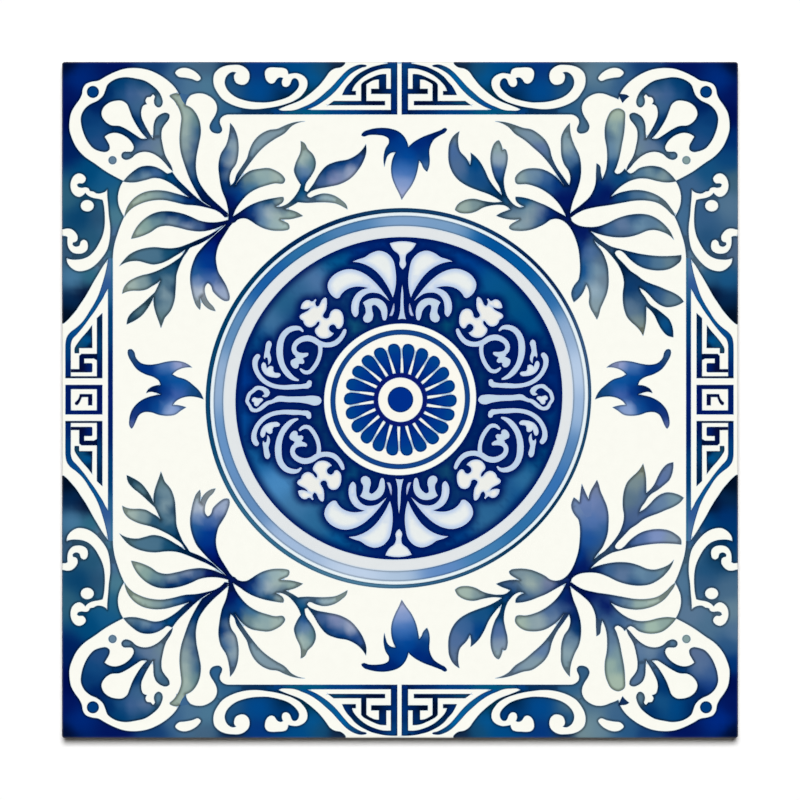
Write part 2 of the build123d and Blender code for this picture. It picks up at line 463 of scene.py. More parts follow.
field = [
    (-12.15, 78, 0), (-12.15, 76.2, 0), (-12.7, 75.5), (-13.5, 75), (-14.45, 74.85), (-15.1, 74.6),
    (-15.9, 74), (-16.5, 73.15), (-17.35, 72), (-18.2, 71), (-19.3, 69.95), (-20.3, 69.1), (-21.1, 68.5),
    (-21.95, 67.9), (-22.9, 67.4), (-24, 66.95), (-25.1, 66.55), (-26.25, 66.1), (-27.4, 65.6, 0),
    (-27, 65.3, 0), (-26.5, 64.42, 0), (-38.6, 64.42, 0), (-39.7, 64.15), (-40.5, 63.4), (-40.6, 62.4),
    (-40.25, 61.6), (-40.1, 60.8), (-40.6, 60.2), (-41.5, 60.15), (-42.5, 60.6), (-42.95, 61.6),
    (-42.6, 62.7), (-41.9, 63.8), (-41.35, 65), (-41.25, 66.2), (-41.7, 67.4), (-42.9, 68.5), (-44.5, 69.15),
    (-46.2, 69.1), (-47.7, 68.55), (-49.3, 67.9), (-50.4, 67, 0), (-53, 66, 0), (-62.5, 51, 0),
    (-62.4, 49.4, 0), (-63.2, 47.8), (-63.6, 45.8), (-63.4, 43.9), (-62.8, 42.4), (-62.2, 41.3, 0),
    (-63, 39.5), (-63.7, 37.5), (-64.3, 35.5), (-64.65, 33.5), (-64.75, 31.5, 0), (-65.7, 31.9, 0),
    (-66.35, 31.1), (-67.1, 30), (-68, 28.5), (-69.1, 26.65), (-70.06, 24.9), (-71.05, 23.2), (-72, 21.8),
    (-73, 20.3), (-74, 19.1), (-75, 18), (-76.2, 17, 0), (-78, 16, 0), (-78, 78, 0),
]
left_corners = [corner(1, 1), corner(1, -1)]
corners = [corner(1, 1), corner(-1, 1), corner(1, -1), corner(-1, -1)]
deep = [
    (-75.5, 75.6, INK), (-75.8, 69, NAVY), (-75, 64, (0, 14, 80)), (-74, 22, (5, 40, 80)),
    (-74.5, 19.5, (0, 12, 32)), (-71, 24, (4, 18, 50)), (-64, 75.6, NAVY), (-56, 75.5, (20, 62, 115)),
    (-39, 65.2, (45, 95, 135)), (-33, 65.1, (15, 62, 112)), (-28.2, 65.3, (5, 60, 115)),
    (-38, 75.9, (10, 40, 80)), (-32, 75, (5, 55, 125)), (-32, 69.5, (0, 72, 140)),
    (-38.3, 72, (30, 80, 125)), (-24, 71, (0, 55, 120)), (-23, 75, (0, 75, 135)), (-19.8, 73, (5, 85, 145)),
    (-18, 74.8, (20, 75, 115)), (-14, 75.8, (18, 40, 70)), (-21.5, 68.9, (0, 60, 90)),
    (-25, 67, (0, 30, 60)),
]
left_thin = [
    (-72.8, 72.8, (0, 40, 130)), (-74.5, 57, (0, 32, 100)), (-70, 51, (0, 72, 130)),
    (-66.5, 49.3, (20, 88, 145)), (-64.8, 46, (35, 95, 140)), (-64.2, 41.5, (75, 125, 155)),
    (-65, 37, (75, 110, 160)), (-65.2, 33, (60, 110, 150)), (-75.5, 46, (45, 95, 130)),
    (-72, 41, (8, 65, 115)), (-68, 41, (38, 78, 120)), (-69, 36.5, (35, 85, 125)),
    (-75.6, 33.5, (50, 85, 125)), (-73.5, 27.5, (74, 124, 172)), (-70, 28, (45, 105, 140)),
    (-67.3, 31, (90, 120, 160)), (-50.5, 71.5, (60, 100, 150)), (-47.5, 71, (76, 116, 160)),
    (-43.3, 71, (78, 122, 160)), (-44, 75.5, (68, 100, 138)), (-42.5, 66.5, (68, 112, 155)),
    (-41.6, 61.5, (45, 95, 150)),
]
right_thin = [
    (-72.8, 72.8, (0, 45, 136)), (-75, 59, (0, 45, 118)), (-74.5, 54, (10, 68, 130)),
    (-69.5, 51.5, (20, 80, 136)), (-66, 48.5, (62, 100, 150)), (-63.8, 41.5, (66, 108, 156)),
    (-65, 36, (75, 110, 155)), (-75.5, 49.5, (62, 98, 130)), (-74.4, 44.2, (82, 116, 155)),
    (-68.5, 41.5, (52, 92, 142)), (-69, 36.5, (35, 80, 130)), (-75.6, 33.5, (75, 100, 140)),
    (-73.5, 27, (25, 88, 146)), (-70, 27.5, (35, 90, 140)), (-67, 31, (100, 130, 165)),
    (-50.5, 71.5, (50, 92, 145)), (-46.5, 73.5, (85, 122, 160)), (-42.8, 73.9, (98, 130, 162)),
    (-40.5, 75.6, (78, 104, 130)), (-42.5, 66.5, (68, 108, 152)), (-41.6, 61.5, (72, 108, 148)),
]
lower_thin = [
    (-72.8, 72.8, (0, 42, 142)), (-69.5, 51.5, (76, 112, 152)), (-66, 48.5, (90, 120, 160)),
    (-63.8, 41.5, (80, 118, 160)), (-65, 36, (80, 115, 152)), (-75.7, 53, (82, 115, 158)),
    (-75.2, 47.5, (100, 130, 160)), (-74, 43, (70, 105, 145)), (-68.5, 41.5, (50, 88, 135)),
    (-69, 38.6, (30, 80, 130)), (-71.5, 36.5, (15, 62, 108)), (-74, 30, (0, 55, 120)),
    (-73.5, 26.5, (0, 50, 120)), (-70, 27.5, (0, 62, 128)), (-67, 31, (55, 95, 148)),
    (-74.5, 55.5, (40, 84, 140)), (-75, 60, (0, 50, 125)), (-49, 72, (60, 100, 148)),
    (-51.5, 74.5, (40, 88, 142)), (-45, 73.9, (100, 132, 162)), (-42.8, 73.9, (112, 142, 165)),
    (-41, 75.6, (120, 145, 162)), (-42.5, 66.5, (72, 110, 152)), (-41.6, 61.5, (50, 92, 140)),
    (-39.5, 69, (95, 125, 150)),
]
for wash, hands in ((left_thin, left_corners), (right_thin, [corner(-1, 1)]), (lower_thin, [corner(-1, -1)])):
    lay(field, deep + [(x, y, (r, g, 0.93 * b)) for x, y, (r, g, b) in wash], 0.6, 0.7, hands)


# The frame: a thin line inside the border, and the ribbons that bend away from it round each fret. Both are
# printed in cobalt on the white ground, and they grow paler towards the fields.
def bar(x0, y0, x1, y1, drops, places, rim=None, spread=0.25):
    """Lay an upright rectangle."""
    lay([(x0, y0, 0), (x1, y0, 0), (x1, y1, 0), (x0, y1, 0)], drops, rim, spread, places)


lay([
    (-28.5, 64.42, 0), (-28.5, 65.3, 0), (-27.4, 65.5), (-26.8, 65.3), (-25.4, 65.27), (-24, 65.35),
    (-23.05, 65.6), (-22.1, 66), (-21.1, 66.4), (-20, 66.95), (-18.9, 67.65), (-17.9, 68.4), (-17, 69.2),
    (-16.1, 70), (-15.4, 70.65), (-14.7, 71.4), (-14, 72.2), (-13.3, 72.95), (-12.5, 73.8), (-11.8, 74.4),
    (-11, 74.95), (-10, 75.4), (-9.2, 75.65), (-8.2, 75.65), (-7.5, 75.4), (-7.7, 75.2), (-8.4, 75.05),
    (-9.25, 74.7), (-10.25, 74.15), (-11.4, 73.3), (-12.25, 72.4), (-13.1, 71.4), (-14, 70.3), (-15, 69.25),
    (-16, 68.35), (-17, 67.6), (-18.6, 66.55), (-19.7, 66), (-20.9, 65.55, 0), (-20, 65.43, 0),
    (-20, 64.42, 0),
], [
    (-10, 75, (15, 75, 125)), (-13, 72.8, (0, 95, 160)), (-17, 69, (10, 90, 145)), (-20, 66.7, (5, 75, 145)),
    (-24, 65, (5, 85, 120)), (-8, 75.4, INK), (-28, 65, (5, 60, 120)),
], (0, 30, 70), 0.25, corners)
bar(-22, 64.42, -0.62, 65.43, [
    (-21, 65, (0, 85, 125)), (-12, 65, (0, 62, 125)), (-5, 65, (0, 40, 100)), (-1, 65, (0, 18, 60)),
], corners)
bar(-65.82, -0.5, -64.75, 32, [
    (-65.3, 31, (60, 115, 150)), (-65.3, 25, (40, 95, 140)), (-65.3, 18, (0, 60, 115)),
    (-65.3, 5, (0, 30, 100)), (-65.3, 0, (5, 30, 110)),
], corners)
lay([
    (-75.42, 4.97, 0), (-75.42, 8), (-75.42, 11.5), (-75.38, 12.9), (-75.05, 14.3), (-74.3, 15.3),
    (-73, 16.3), (-72, 17.2), (-71, 18.4), (-70, 20), (-69, 21.6), (-68, 23.6), (-67.2, 25.9), (-66.5, 28.3),
    (-66, 30.5), (-65.75, 32, 0), (-65.2, 32, 0), (-65.2, 25.2, 0), (-65.8, 25.2, 0), (-66.35, 24.3),
    (-67, 23), (-67.95, 21.5), (-68.9, 20), (-70, 18.5), (-71, 17.1), (-71.95, 15.9), (-72.95, 14.75),
    (-73.8, 13.85), (-74.2, 12.6), (-74.22, 11.5), (-74.22, 8), (-74.22, 4.97, 0),
], [
    (-65.6, 30, (75, 115, 160)), (-66.6, 25.5, (50, 90, 150)), (-68, 22, (10, 85, 145)),
    (-70.5, 18.3, (5, 82, 142)), (-73.5, 15.6, (5, 75, 140)), (-74.8, 12, (0, 60, 120)),
    (-74.8, 6, (0, 35, 105)),
], (0, 35, 85), 0.25, corners)


# The brackets: white scrolls reserved in the field, a long one above the fret's end and a shorter one beside
# it, with a dot, a hook and a leaf between them. The cobalt bleeds a little way into each.
reserve([
    (-37.7, 75.6), (-39.3, 75.4), (-40.8, 74.75), (-41.8, 73.7), (-42.1, 72.25), (-41.9, 70.8),
    (-41.2, 69.4), (-40.05, 67.9), (-38.5, 66.9), (-36.6, 66.15), (-34.5, 65.7), (-32.2, 65.6), (-30, 65.85),
    (-28.6, 66.05), (-27.2, 66.35), (-25.8, 66.75), (-24.4, 67.25), (-23.5, 67.7), (-22.5, 68.35),
    (-21.7, 69.25), (-21.1, 70.2), (-20.85, 71.2), (-20.97, 72.2), (-21.5, 72.95), (-22.4, 73.5),
    (-23.3, 73.75), (-24.45, 73.65), (-25.15, 73.5, 0), (-25.25, 74), (-25.55, 74.6), (-26.25, 74.9),
    (-27.5, 75), (-28.9, 75.05), (-29.85, 74.85), (-30.4, 74.2), (-30.45, 73.2), (-30.1, 72.1),
    (-29.5, 71.5), (-28.9, 71.35), (-28.3, 71.6), (-27.9, 72.2), (-27.45, 72.65), (-26.8, 72.78),
    (-26.35, 72.6, 0), (-26.6, 72.05), (-26.65, 71.5), (-26.4, 70.85), (-25.7, 70.6), (-25.15, 70.8),
    (-24.7, 71.35), (-24.45, 72.05), (-24.1, 72.5), (-23.7, 72.6), (-23.1, 72.25), (-22.8, 71.6),
    (-22.8, 70.85), (-23.2, 70.1), (-24, 69.25), (-25, 68.5), (-26.1, 68), (-27.5, 67.6), (-28.9, 67.3),
    (-30, 67.15), (-31.6, 67.15), (-33.5, 67.3), (-35.3, 67.7), (-36.9, 68.3), (-38.2, 69.2), (-39.1, 70.3),
    (-39.5, 71.5), (-39.3, 72.65), (-38.6, 73.6), (-37.8, 74), (-36.95, 73.85, 0), (-37.4, 73.3),
    (-37.4, 72.5), (-37, 71.6), (-36.1, 71.15), (-35.05, 71.15), (-34.2, 71.85), (-33.9, 72.9),
    (-34.1, 74.1), (-34.9, 75), (-36.1, 75.55),
], corners)
reserve([
    (-72.5, 51.15), (-73.4, 50.7), (-74.1, 49.6), (-74.3, 48.3), (-74, 47), (-73.2, 46.1), (-72.25, 45.8),
    (-71.5, 46.15), (-70.95, 46.75, 0), (-70.3, 46.1), (-69.2, 45.6), (-68.05, 45.4), (-67.05, 45.15, 0),
    (-66.8, 44.1), (-66.6, 42.3), (-66.55, 40.4), (-66.7, 38.6), (-67.1, 37), (-67.9, 35.3), (-68.9, 33.7),
    (-70.3, 32.4), (-71.7, 31.85), (-73, 31.7), (-74.2, 31.75), (-75.15, 32.05, 0), (-75, 31), (-74, 29.75),
    (-72.7, 29.1), (-71.65, 29.1), (-70, 29.6), (-68.9, 30.3), (-67.95, 31.2), (-66.95, 32.4),
    (-66.05, 33.85), (-65.5, 35.9), (-65.3, 38.05), (-65.35, 39.6), (-65.6, 41.5), (-65.8, 44.1),
    (-65.95, 45.7), (-66, 47.5, 0), (-66.5, 47), (-67.4, 46.65), (-68.45, 46.65), (-69.1, 47.05),
    (-69.9, 47.2), (-70.15, 47.75), (-70.8, 48), (-71.85, 47.9), (-72.6, 48.15), (-72.8, 48.6),
    (-72.4, 48.9), (-71.6, 48.85), (-71.05, 49.25), (-70.8, 50), (-71.35, 50.8),
], corners)
lay(ellipse(-70.5, 43.85, 1.5, 1.32), IVORY, BLEED, 0.2, corners)
reserve([
    (-77, 38.4), (-76.2, 38.45), (-75.3, 38.7), (-74.1, 38.6), (-73.2, 37.9), (-72.65, 36.9), (-72.8, 35.95),
    (-73.7, 35.55, 0), (-73.8, 35.1), (-73.05, 34.6), (-72.25, 34.9), (-72, 35.75), (-71.35, 36.2),
    (-70.7, 35.95), (-70.35, 35), (-70.55, 33.85), (-71.35, 33.2), (-72.5, 33), (-73.85, 33.3),
    (-74.75, 34.4), (-75, 35.7), (-74.95, 36.75, 0), (-75.4, 37), (-76.2, 36.95), (-77, 36.95),
], corners)
reserve([
    (-50.7, 73.9), (-50, 74.6), (-48.5, 74.95), (-46.9, 74.5), (-45.5, 73.5), (-44.9, 72.5), (-45.4, 72),
    (-46.9, 72.4), (-48.5, 72.7), (-50, 72.95),
], corners)


# The corner cartouches: a white C-scroll round a field that ends in the spray's root, with a drop and a hook
# in it. The field is a wash of its own, which pales towards the spray.
reserve([
    (-49.9, 69.2, 0), (-50.9, 70.7), (-52.5, 72.2), (-54.5, 73.5), (-56.9, 74.5), (-59.5, 74.9),
    (-62.2, 74.7), (-64.5, 73.9), (-66.5, 72.9), (-68, 72.05), (-69.5, 71.8), (-70.9, 71.2), (-71.5, 70.2),
    (-71.7, 69), (-72.2, 67.9), (-73.2, 66.5), (-74.1, 64.9), (-74.5, 62.9), (-74.5, 60.9), (-73.9, 58.9),
    (-72.9, 56.9), (-71.2, 55), (-68.9, 53.4), (-66.2, 51.5), (-63.9, 50.2), (-62.4, 49.45, 0),
    (-55, 50.2, 0), (-50, 52, 0), (-49, 60, 0), (-49.3, 67.4, 0),
], corners)
lay([
    (-49.3, 69.2, 0), (-50.3, 69), (-51.2, 68.9), (-51.9, 68.45, 0), (-51.2, 67.9), (-50.4, 67, 0),
], (20, 55, 105), 0.6, 0.5, corners)
lay([
    (-47.2, 68.75, 0), (-47.85, 68), (-48.3, 66.5, 0), (-50.4, 66.6, 0), (-50.6, 68.2, 0), (-49.3, 69.2, 0),
], (60, 102, 145), 0.7, 0.5, left_corners)
court = [
    (-66, 71), (-64.5, 72.2), (-62.2, 72.8), (-59.5, 72.5), (-57.5, 72), (-55.9, 71), (-54.5, 69.7),
    (-53.7, 68.2), (-53.5, 67), (-53.9, 66.2), (-54.5, 66), (-55.2, 66.5), (-55.45, 67.5), (-55.2, 68.4, 0),
    (-55.7, 68.95), (-56.2, 68.4), (-57, 68.3), (-57.4, 67.5), (-57.05, 66.75, 0), (-57.9, 66.4),
    (-58.3, 65.4), (-58.3, 64), (-57.7, 62.4), (-56.9, 60.9), (-55.7, 59, 0), (-55.6, 60.5), (-55.5, 62.2),
    (-54.9, 63.7), (-53.9, 64.5), (-52.7, 64.8), (-52, 64.4), (-52.1, 63.4), (-53, 62.2), (-53.6, 61.2),
    (-53.8, 59.5), (-53.5, 57.5), (-52.9, 55.2), (-51.4, 52.4), (-51.2, 51.6, 0), (-51.9, 52.2), (-53, 53.5),
    (-54.5, 54.9), (-56.2, 55.8), (-57.9, 56), (-59.5, 55.5), (-60.7, 54.5), (-61.9, 54.2), (-62.7, 54.7),
    (-62.75, 55.5), (-62.3, 55.95), (-61.2, 56), (-60.4, 56.1), (-60, 56.9), (-60.4, 58), (-61.5, 59.2),
    (-62.9, 60), (-64.5, 60.3), (-65.9, 59.9), (-66.6, 59.4, 0), (-66, 58.4), (-65.5, 57.4), (-65.5, 56.5),
    (-66.2, 56), (-67.5, 56.1), (-69, 56.7), (-70.2, 58), (-71.2, 59.9), (-71.8, 61.9), (-71.9, 63.9),
    (-71.2, 65.5), (-69.9, 66.7), (-68.2, 67.5), (-66.9, 68.7), (-66.4, 69.9),
]
lay(court, [
    (-63.1, 71.2, (0, 60, 112)), (-65.5, 69.5, (0, 45, 100)), (-60.8, 69, (65, 98, 145)),
    (-57.5, 69.2, (85, 112, 150)), (-58.6, 66.3, (60, 100, 140)), (-63, 69, (25, 75, 125)),
    (-58, 71.5, (20, 70, 115)), (-55, 71, (25, 75, 115)), (-54.3, 67, (85, 125, 150)),
    (-70, 63.2, (8, 58, 114)), (-69, 60.8, (16, 70, 124)), (-68, 58.6, (34, 76, 128)),
    (-68.3, 66.5, (0, 35, 95)), (-60, 62.5, (0, 50, 105)), (-63.1, 60.6, (0, 48, 100)),
    (-60, 59.8, (0, 50, 105)), (-57, 57.3, (95, 120, 152)), (-57.8, 59.8, (30, 72, 120)),
    (-55.4, 58.2, (104, 128, 152)), (-53.8, 56.5, (108, 134, 150)), (-54.6, 61, (85, 120, 145)),
    (-53, 64, (60, 98, 128)), (-53, 54.4, (90, 118, 142)), (-51.7, 52.4, (50, 85, 128)),
    (-61.5, 55, (80, 115, 145)),
], 0.5, 0.7, [corner(1, 1), corner(-1, 1), corner(1, -1)])
lay(court, [
    (-53.9, 56.6, (92, 122, 156)), (-56.8, 56.8, (104, 132, 160)), (-59.8, 58.2, (50, 86, 132)),
    (-67.9, 60.2, (88, 114, 152)), (-66.5, 57.5, (90, 112, 148)), (-70.1, 62.6, (60, 95, 145)),
    (-70, 64.9, (20, 60, 130)), (-60, 64.8, (0, 52, 108)), (-59.3, 68.4, (20, 80, 130)),
    (-62.9, 69.7, (0, 70, 130)), (-65.5, 69.8, (0, 45, 100)), (-56.6, 70.2, (0, 50, 105)),
    (-54.3, 67.3, (90, 120, 140)), (-53.4, 62.9, (85, 115, 150)), (-54.2, 60.2, (75, 110, 146)),
    (-63.1, 60.6, (0, 50, 105)), (-52.6, 53.8, (90, 118, 148)), (-61.5, 55, (80, 115, 145)),
    (-68.4, 66.5, (0, 35, 95)),
], 0.5, 0.7, [corner(-1, -1)])
reserve([
    (-67.3, 64.5), (-66.9, 65.9), (-65.7, 67), (-64.2, 67.5), (-62.5, 67.45), (-61.5, 66.7), (-61, 65.5),
    (-60.4, 63.9), (-59.2, 61.7), (-57.9, 59.9), (-57, 59, 0), (-58.2, 58.95), (-59.5, 59.7), (-61.5, 61),
    (-63.2, 61.8), (-65.2, 62), (-66.5, 62.9),
], corners)
lay(ellipse(-69.23, 69.5, 1.35, 1.35), (0, 60, 125), INK, 0.45, corners)
lay(ellipse(-64.8, 54.1, 0.92, 0.92), (100, 130, 155), 0.7, 0.35, left_corners)
lay(ellipse(-64.8, 54.1, 0.92, 0.92), (132, 158, 160), 0.75, 0.35, [corner(-1, 1), corner(-1, -1)])


# The frets: meanders in cobalt between the ribbons, with a small key in a box of its own at the left and
# right. They are the darkest print on the tile, almost black where the line turns.
lay([
    (-0.62, 75.9, 0), (-2, 75.9), (-4, 75.7), (-5.1, 75.45), (-6.4, 75.1), (-7.5, 74.6), (-9, 73.8),
    (-10.25, 72.8), (-11.1, 71.8), (-12, 70.8), (-12.6, 69.8), (-13.05, 68.8, 0), (-9.95, 68.8, 0),
    (-9.95, 69.7, 0), (-10.85, 69.7, 0), (-10.5, 70.6), (-10, 71.3), (-9, 72.3), (-8, 73.1), (-6.75, 73.8),
    (-5.5, 74.3), (-4, 74.7), (-2.05, 74.75, 0), (-2.05, 70.2, 0), (-3.1, 70.2, 0), (-3.1, 73.5, 0),
    (-3.9, 73.5), (-5, 73.3), (-6.1, 72.85), (-7.25, 72.3), (-8.4, 71.6), (-8.75, 71.15, 0),
    (-8.75, 67.45, 0), (-14.95, 67.45, 0), (-16.25, 66.5, 0), (-3.38, 66.5, 0), (-3.38, 67.45, 0),
    (-7.58, 67.45, 0), (-7.58, 71.2, 0), (-6.75, 71.75), (-5.75, 72.2), (-4.75, 72.3, 0), (-4.75, 70.2, 0),
    (-6.5, 70.2, 0), (-6.5, 69.05, 0), (-2.05, 69.05, 0), (-2.05, 64.42, 0), (-0.62, 64.42, 0),
], [
    (-1.3, 75, (5, 60, 120)), (-1.3, 70, (0, 50, 120)), (-1.3, 66, (0, 40, 110)), (-6, 74.6, (0, 30, 85)),
    (-9, 73, (0, 45, 90)), (-11.8, 69.8, (0, 45, 110)), (-10.3, 69.2, (0, 10, 40)), (-4, 72, (0, 40, 95)),
    (-8.2, 70, (0, 12, 40)), (-7, 72, (0, 10, 35)), (-5.5, 69.6, (0, 10, 35)), (-3, 69.6, (0, 30, 80)),
    (-14, 67, (5, 60, 100)), (-10, 67, (0, 40, 95)), (-5, 67, (0, 12, 50)),
], (0, 8, 36), 0.3, corners)
lay([
    (-68.3, 10.45, 0), (-71.8, 10.45, 0), (-72.3, 10, 0), (-72.3, 7, 0), (-74.2, 7, 0), (-74.2, 6.3, 0),
    (-69.55, 6.3, 0), (-69.36, 6.5, 0), (-69.36, 8.15, 0), (-69.55, 8.35, 0), (-71.2, 8.35, 0),
    (-71.2, 9.4, 0), (-69, 9.4, 0), (-68.3, 9, 0),
], [
    (-72, 7, (5, 10, 50)), (-69.8, 7.3, (0, 30, 105)), (-71.8, 9.5, (0, 15, 65)), (-69, 10, (0, 15, 55)),
], (0, 8, 40), 0.25, corners)
bar(-75.42, 4.97, -67.1, 5.4, [(-71, 5.2, (0, 12, 50))], corners)
lay([
    (-68.32, 4.97, 0), (-67.1, 4.97, 0), (-67.1, 19.65, 0), (-68.32, 18.5, 0),
], [
    (-67.7, 18, (0, 35, 75)), (-67.7, 12, (0, 55, 105)), (-67.7, 6, (0, 20, 85)),
], (0, 20, 60), 0.3, corners)
lay([
    (-69.43, 16.9, 0), (-69.36, 11.77, 0), (-72.35, 11.77, 0), (-72.35, 10.6, 0), (-73.3, 10.6, 0),
    (-73.3, 11.8), (-72.9, 12.5), (-71.8, 14), (-70.4, 15.6),
], [
    (-70.5, 13.2, (0, 85, 145)), (-69.7, 15.5, (0, 40, 80)), (-69.7, 12.1, (0, 15, 45)),
    (-72.7, 11.2, (20, 65, 90)), (-72.2, 12.6, (10, 75, 120)),
], INK, 0.35, corners)
box_left, box_right, box_foot, box_head = -75.42, -67.1, -3.2, 3.45
box_wash = [(-75, 0, (0, 28, 100)), (-67.7, 0, (0, 22, 95)), (-71, 3, (0, 18, 80))]
for side in (corner(1, 1), corner(-1, 1)):
    bar(box_left, 2.5, box_right, box_head, box_wash, [side])
    bar(box_left, box_foot, box_right, -2.3, box_wash, [side])
    bar(box_left, box_foot, -74.2, box_head, box_wash, [side])
    bar(-68.32, box_foot, box_right, box_head, box_wash, [side])
    bar(-70.3, -1.15, -69.38, 1.38, (5, 12, 65), [side])
    bar(-72.2, 0.72, -69.38, 1.38, (0, 14, 62), [side])
    brush([
        (-71.95, 1, 0.6), (-72.15, 0.4, 0.55), (-72.45, -0.2, 0.65), (-72.9, -0.7, 0.8),
    ], (5, 10, 55), (2, 6, 40), 0.3, [side])


# The sprays: acanthus leaves that fan out from a knot in each corner, brushed on from navy at the knot to
# sage at the tips. The left and the right spray are drawn apart, and each is turned over for the lower corner.
def upright(p):
    """The place of an upper copy, as drawn."""
    return p


def turned_over(p):
    """The place of a lower copy, turned over across the sprays' middle line."""
    return np.column_stack([p[:, 0], 0.2 - p[:, 1]])


pair = [upright, turned_over]
leaf([
    (-51.9, 68.7), (-51.4, 69), (-50, 69.15), (-49.2, 67.7), (-48.3, 66.5, 0), (-47.2, 66), (-46, 64.7),
    (-45.2, 62.9), (-44.9, 60.5), (-45.4, 57.5), (-45.9, 54.9), (-46, 52.2), (-45.4, 49.5), (-44, 47.2),
    (-42.2, 45.2), (-40.2, 43.4), (-38.2, 41.6, 0), (-41, 42.5, 0), (-44.6, 44.9, 0), (-46.2, 47.5),
    (-47.4, 49.9), (-48.5, 52.9), (-49.4, 55.9), (-49.7, 58.9), (-49.5, 61.5), (-49.3, 63.9), (-49.9, 65.9),
    (-50.9, 67.5),
], [
    (-50.3, 67.8, (155, 175, 165)), (-47.9, 63.6, (162, 182, 174)), (-46, 63.3, (95, 130, 140)),
    (-48, 60.5, (155, 175, 172)), (-45.6, 60.5, (55, 95, 130)), (-48, 57.5, (142, 163, 165)),
    (-46.2, 57, (60, 92, 130)), (-47.8, 54.5, (120, 142, 155)), (-46.4, 53.5, (45, 80, 120)),
    (-47.3, 51.4, (60, 95, 132)), (-46, 49, (0, 55, 112)), (-44, 46.5, (0, 25, 80)), (-40, 42.8, NAVY),
], pair)
leaf([
    (-62.4, 49.3, 0), (-60.5, 51.3), (-58.5, 52.6), (-57, 52.85), (-55, 52.55), (-53.5, 51.8), (-52.4, 51.1),
    (-51.35, 51.5, 0), (-50.2, 49.9), (-48.2, 47.9), (-46.2, 46), (-44.5, 44.65), (-41.5, 43),
    (-38.2, 41.5, 0), (-39.5, 41.2, 0), (-41, 42.55), (-43.5, 43.4), (-46, 43.9), (-48.5, 44.1), (-51, 44.7),
    (-53.5, 45.15), (-56, 45), (-58.5, 44.3), (-60.6, 43.1), (-62.1, 41.3, 0), (-61.5, 43.5), (-60, 45.5),
    (-58, 46.75), (-55.5, 47.3), (-53, 47.2), (-50.5, 46.6), (-47.55, 45.75, 0), (-48.5, 46.4), (-50, 47.7),
    (-52, 49.1), (-53.8, 49.9), (-55.5, 50.1), (-57.5, 49.6), (-60, 49.1),
], [
    (-60.8, 50, (90, 122, 146)), (-59.5, 51.8, (25, 70, 115)), (-57.3, 50.7, (115, 145, 168)),
    (-57, 52.6, (0, 50, 105)), (-54.8, 51, (60, 98, 148)), (-52.3, 50.4, (0, 68, 122)),
    (-49.8, 48.7, (0, 55, 112)), (-47, 45.9, (0, 25, 90)), (-61.2, 42.5, (150, 172, 158)),
    (-59.5, 44.8, (165, 185, 172)), (-57, 46, (150, 174, 167)), (-54.8, 45.8, (132, 157, 160)),
    (-52.3, 45.7, (102, 134, 155)), (-50, 45.3, (50, 98, 145)), (-47.3, 44.7, (0, 50, 112)),
    (-43, 43.7, NAVY), (-39, 41.6, NAVY),
], pair)
leaf([
    (-60.6, 36.4, 0), (-60.2, 37.5), (-59, 39.5), (-57.2, 41.2), (-54.9, 42.35), (-52.2, 42.6),
    (-49.5, 42.2), (-47.2, 41.4), (-45.2, 40.5), (-42.9, 40.1), (-40.2, 40.3), (-38, 41, 0), (-38, 40.2, 0),
    (-39.9, 39.4), (-42.2, 38.5), (-44.9, 38.05), (-47.5, 38.3), (-50.2, 38.95), (-52.9, 39.35), (-54.5, 39),
    (-56.2, 37.9), (-58.2, 37),
], [
    (-59.6, 37.7, SAGE), (-57.5, 39.5, (135, 165, 160)), (-55, 40.6, (110, 145, 155)),
    (-55, 41.8, (40, 80, 115)), (-51.5, 40.2, (120, 145, 165)), (-51.5, 41.9, (0, 45, 100)),
    (-48, 39.3, (120, 140, 170)), (-48, 41, (5, 50, 110)), (-45, 39, (60, 90, 135)), (-43, 39.3, NAVY),
    (-39.5, 40, NAVY),
], pair)
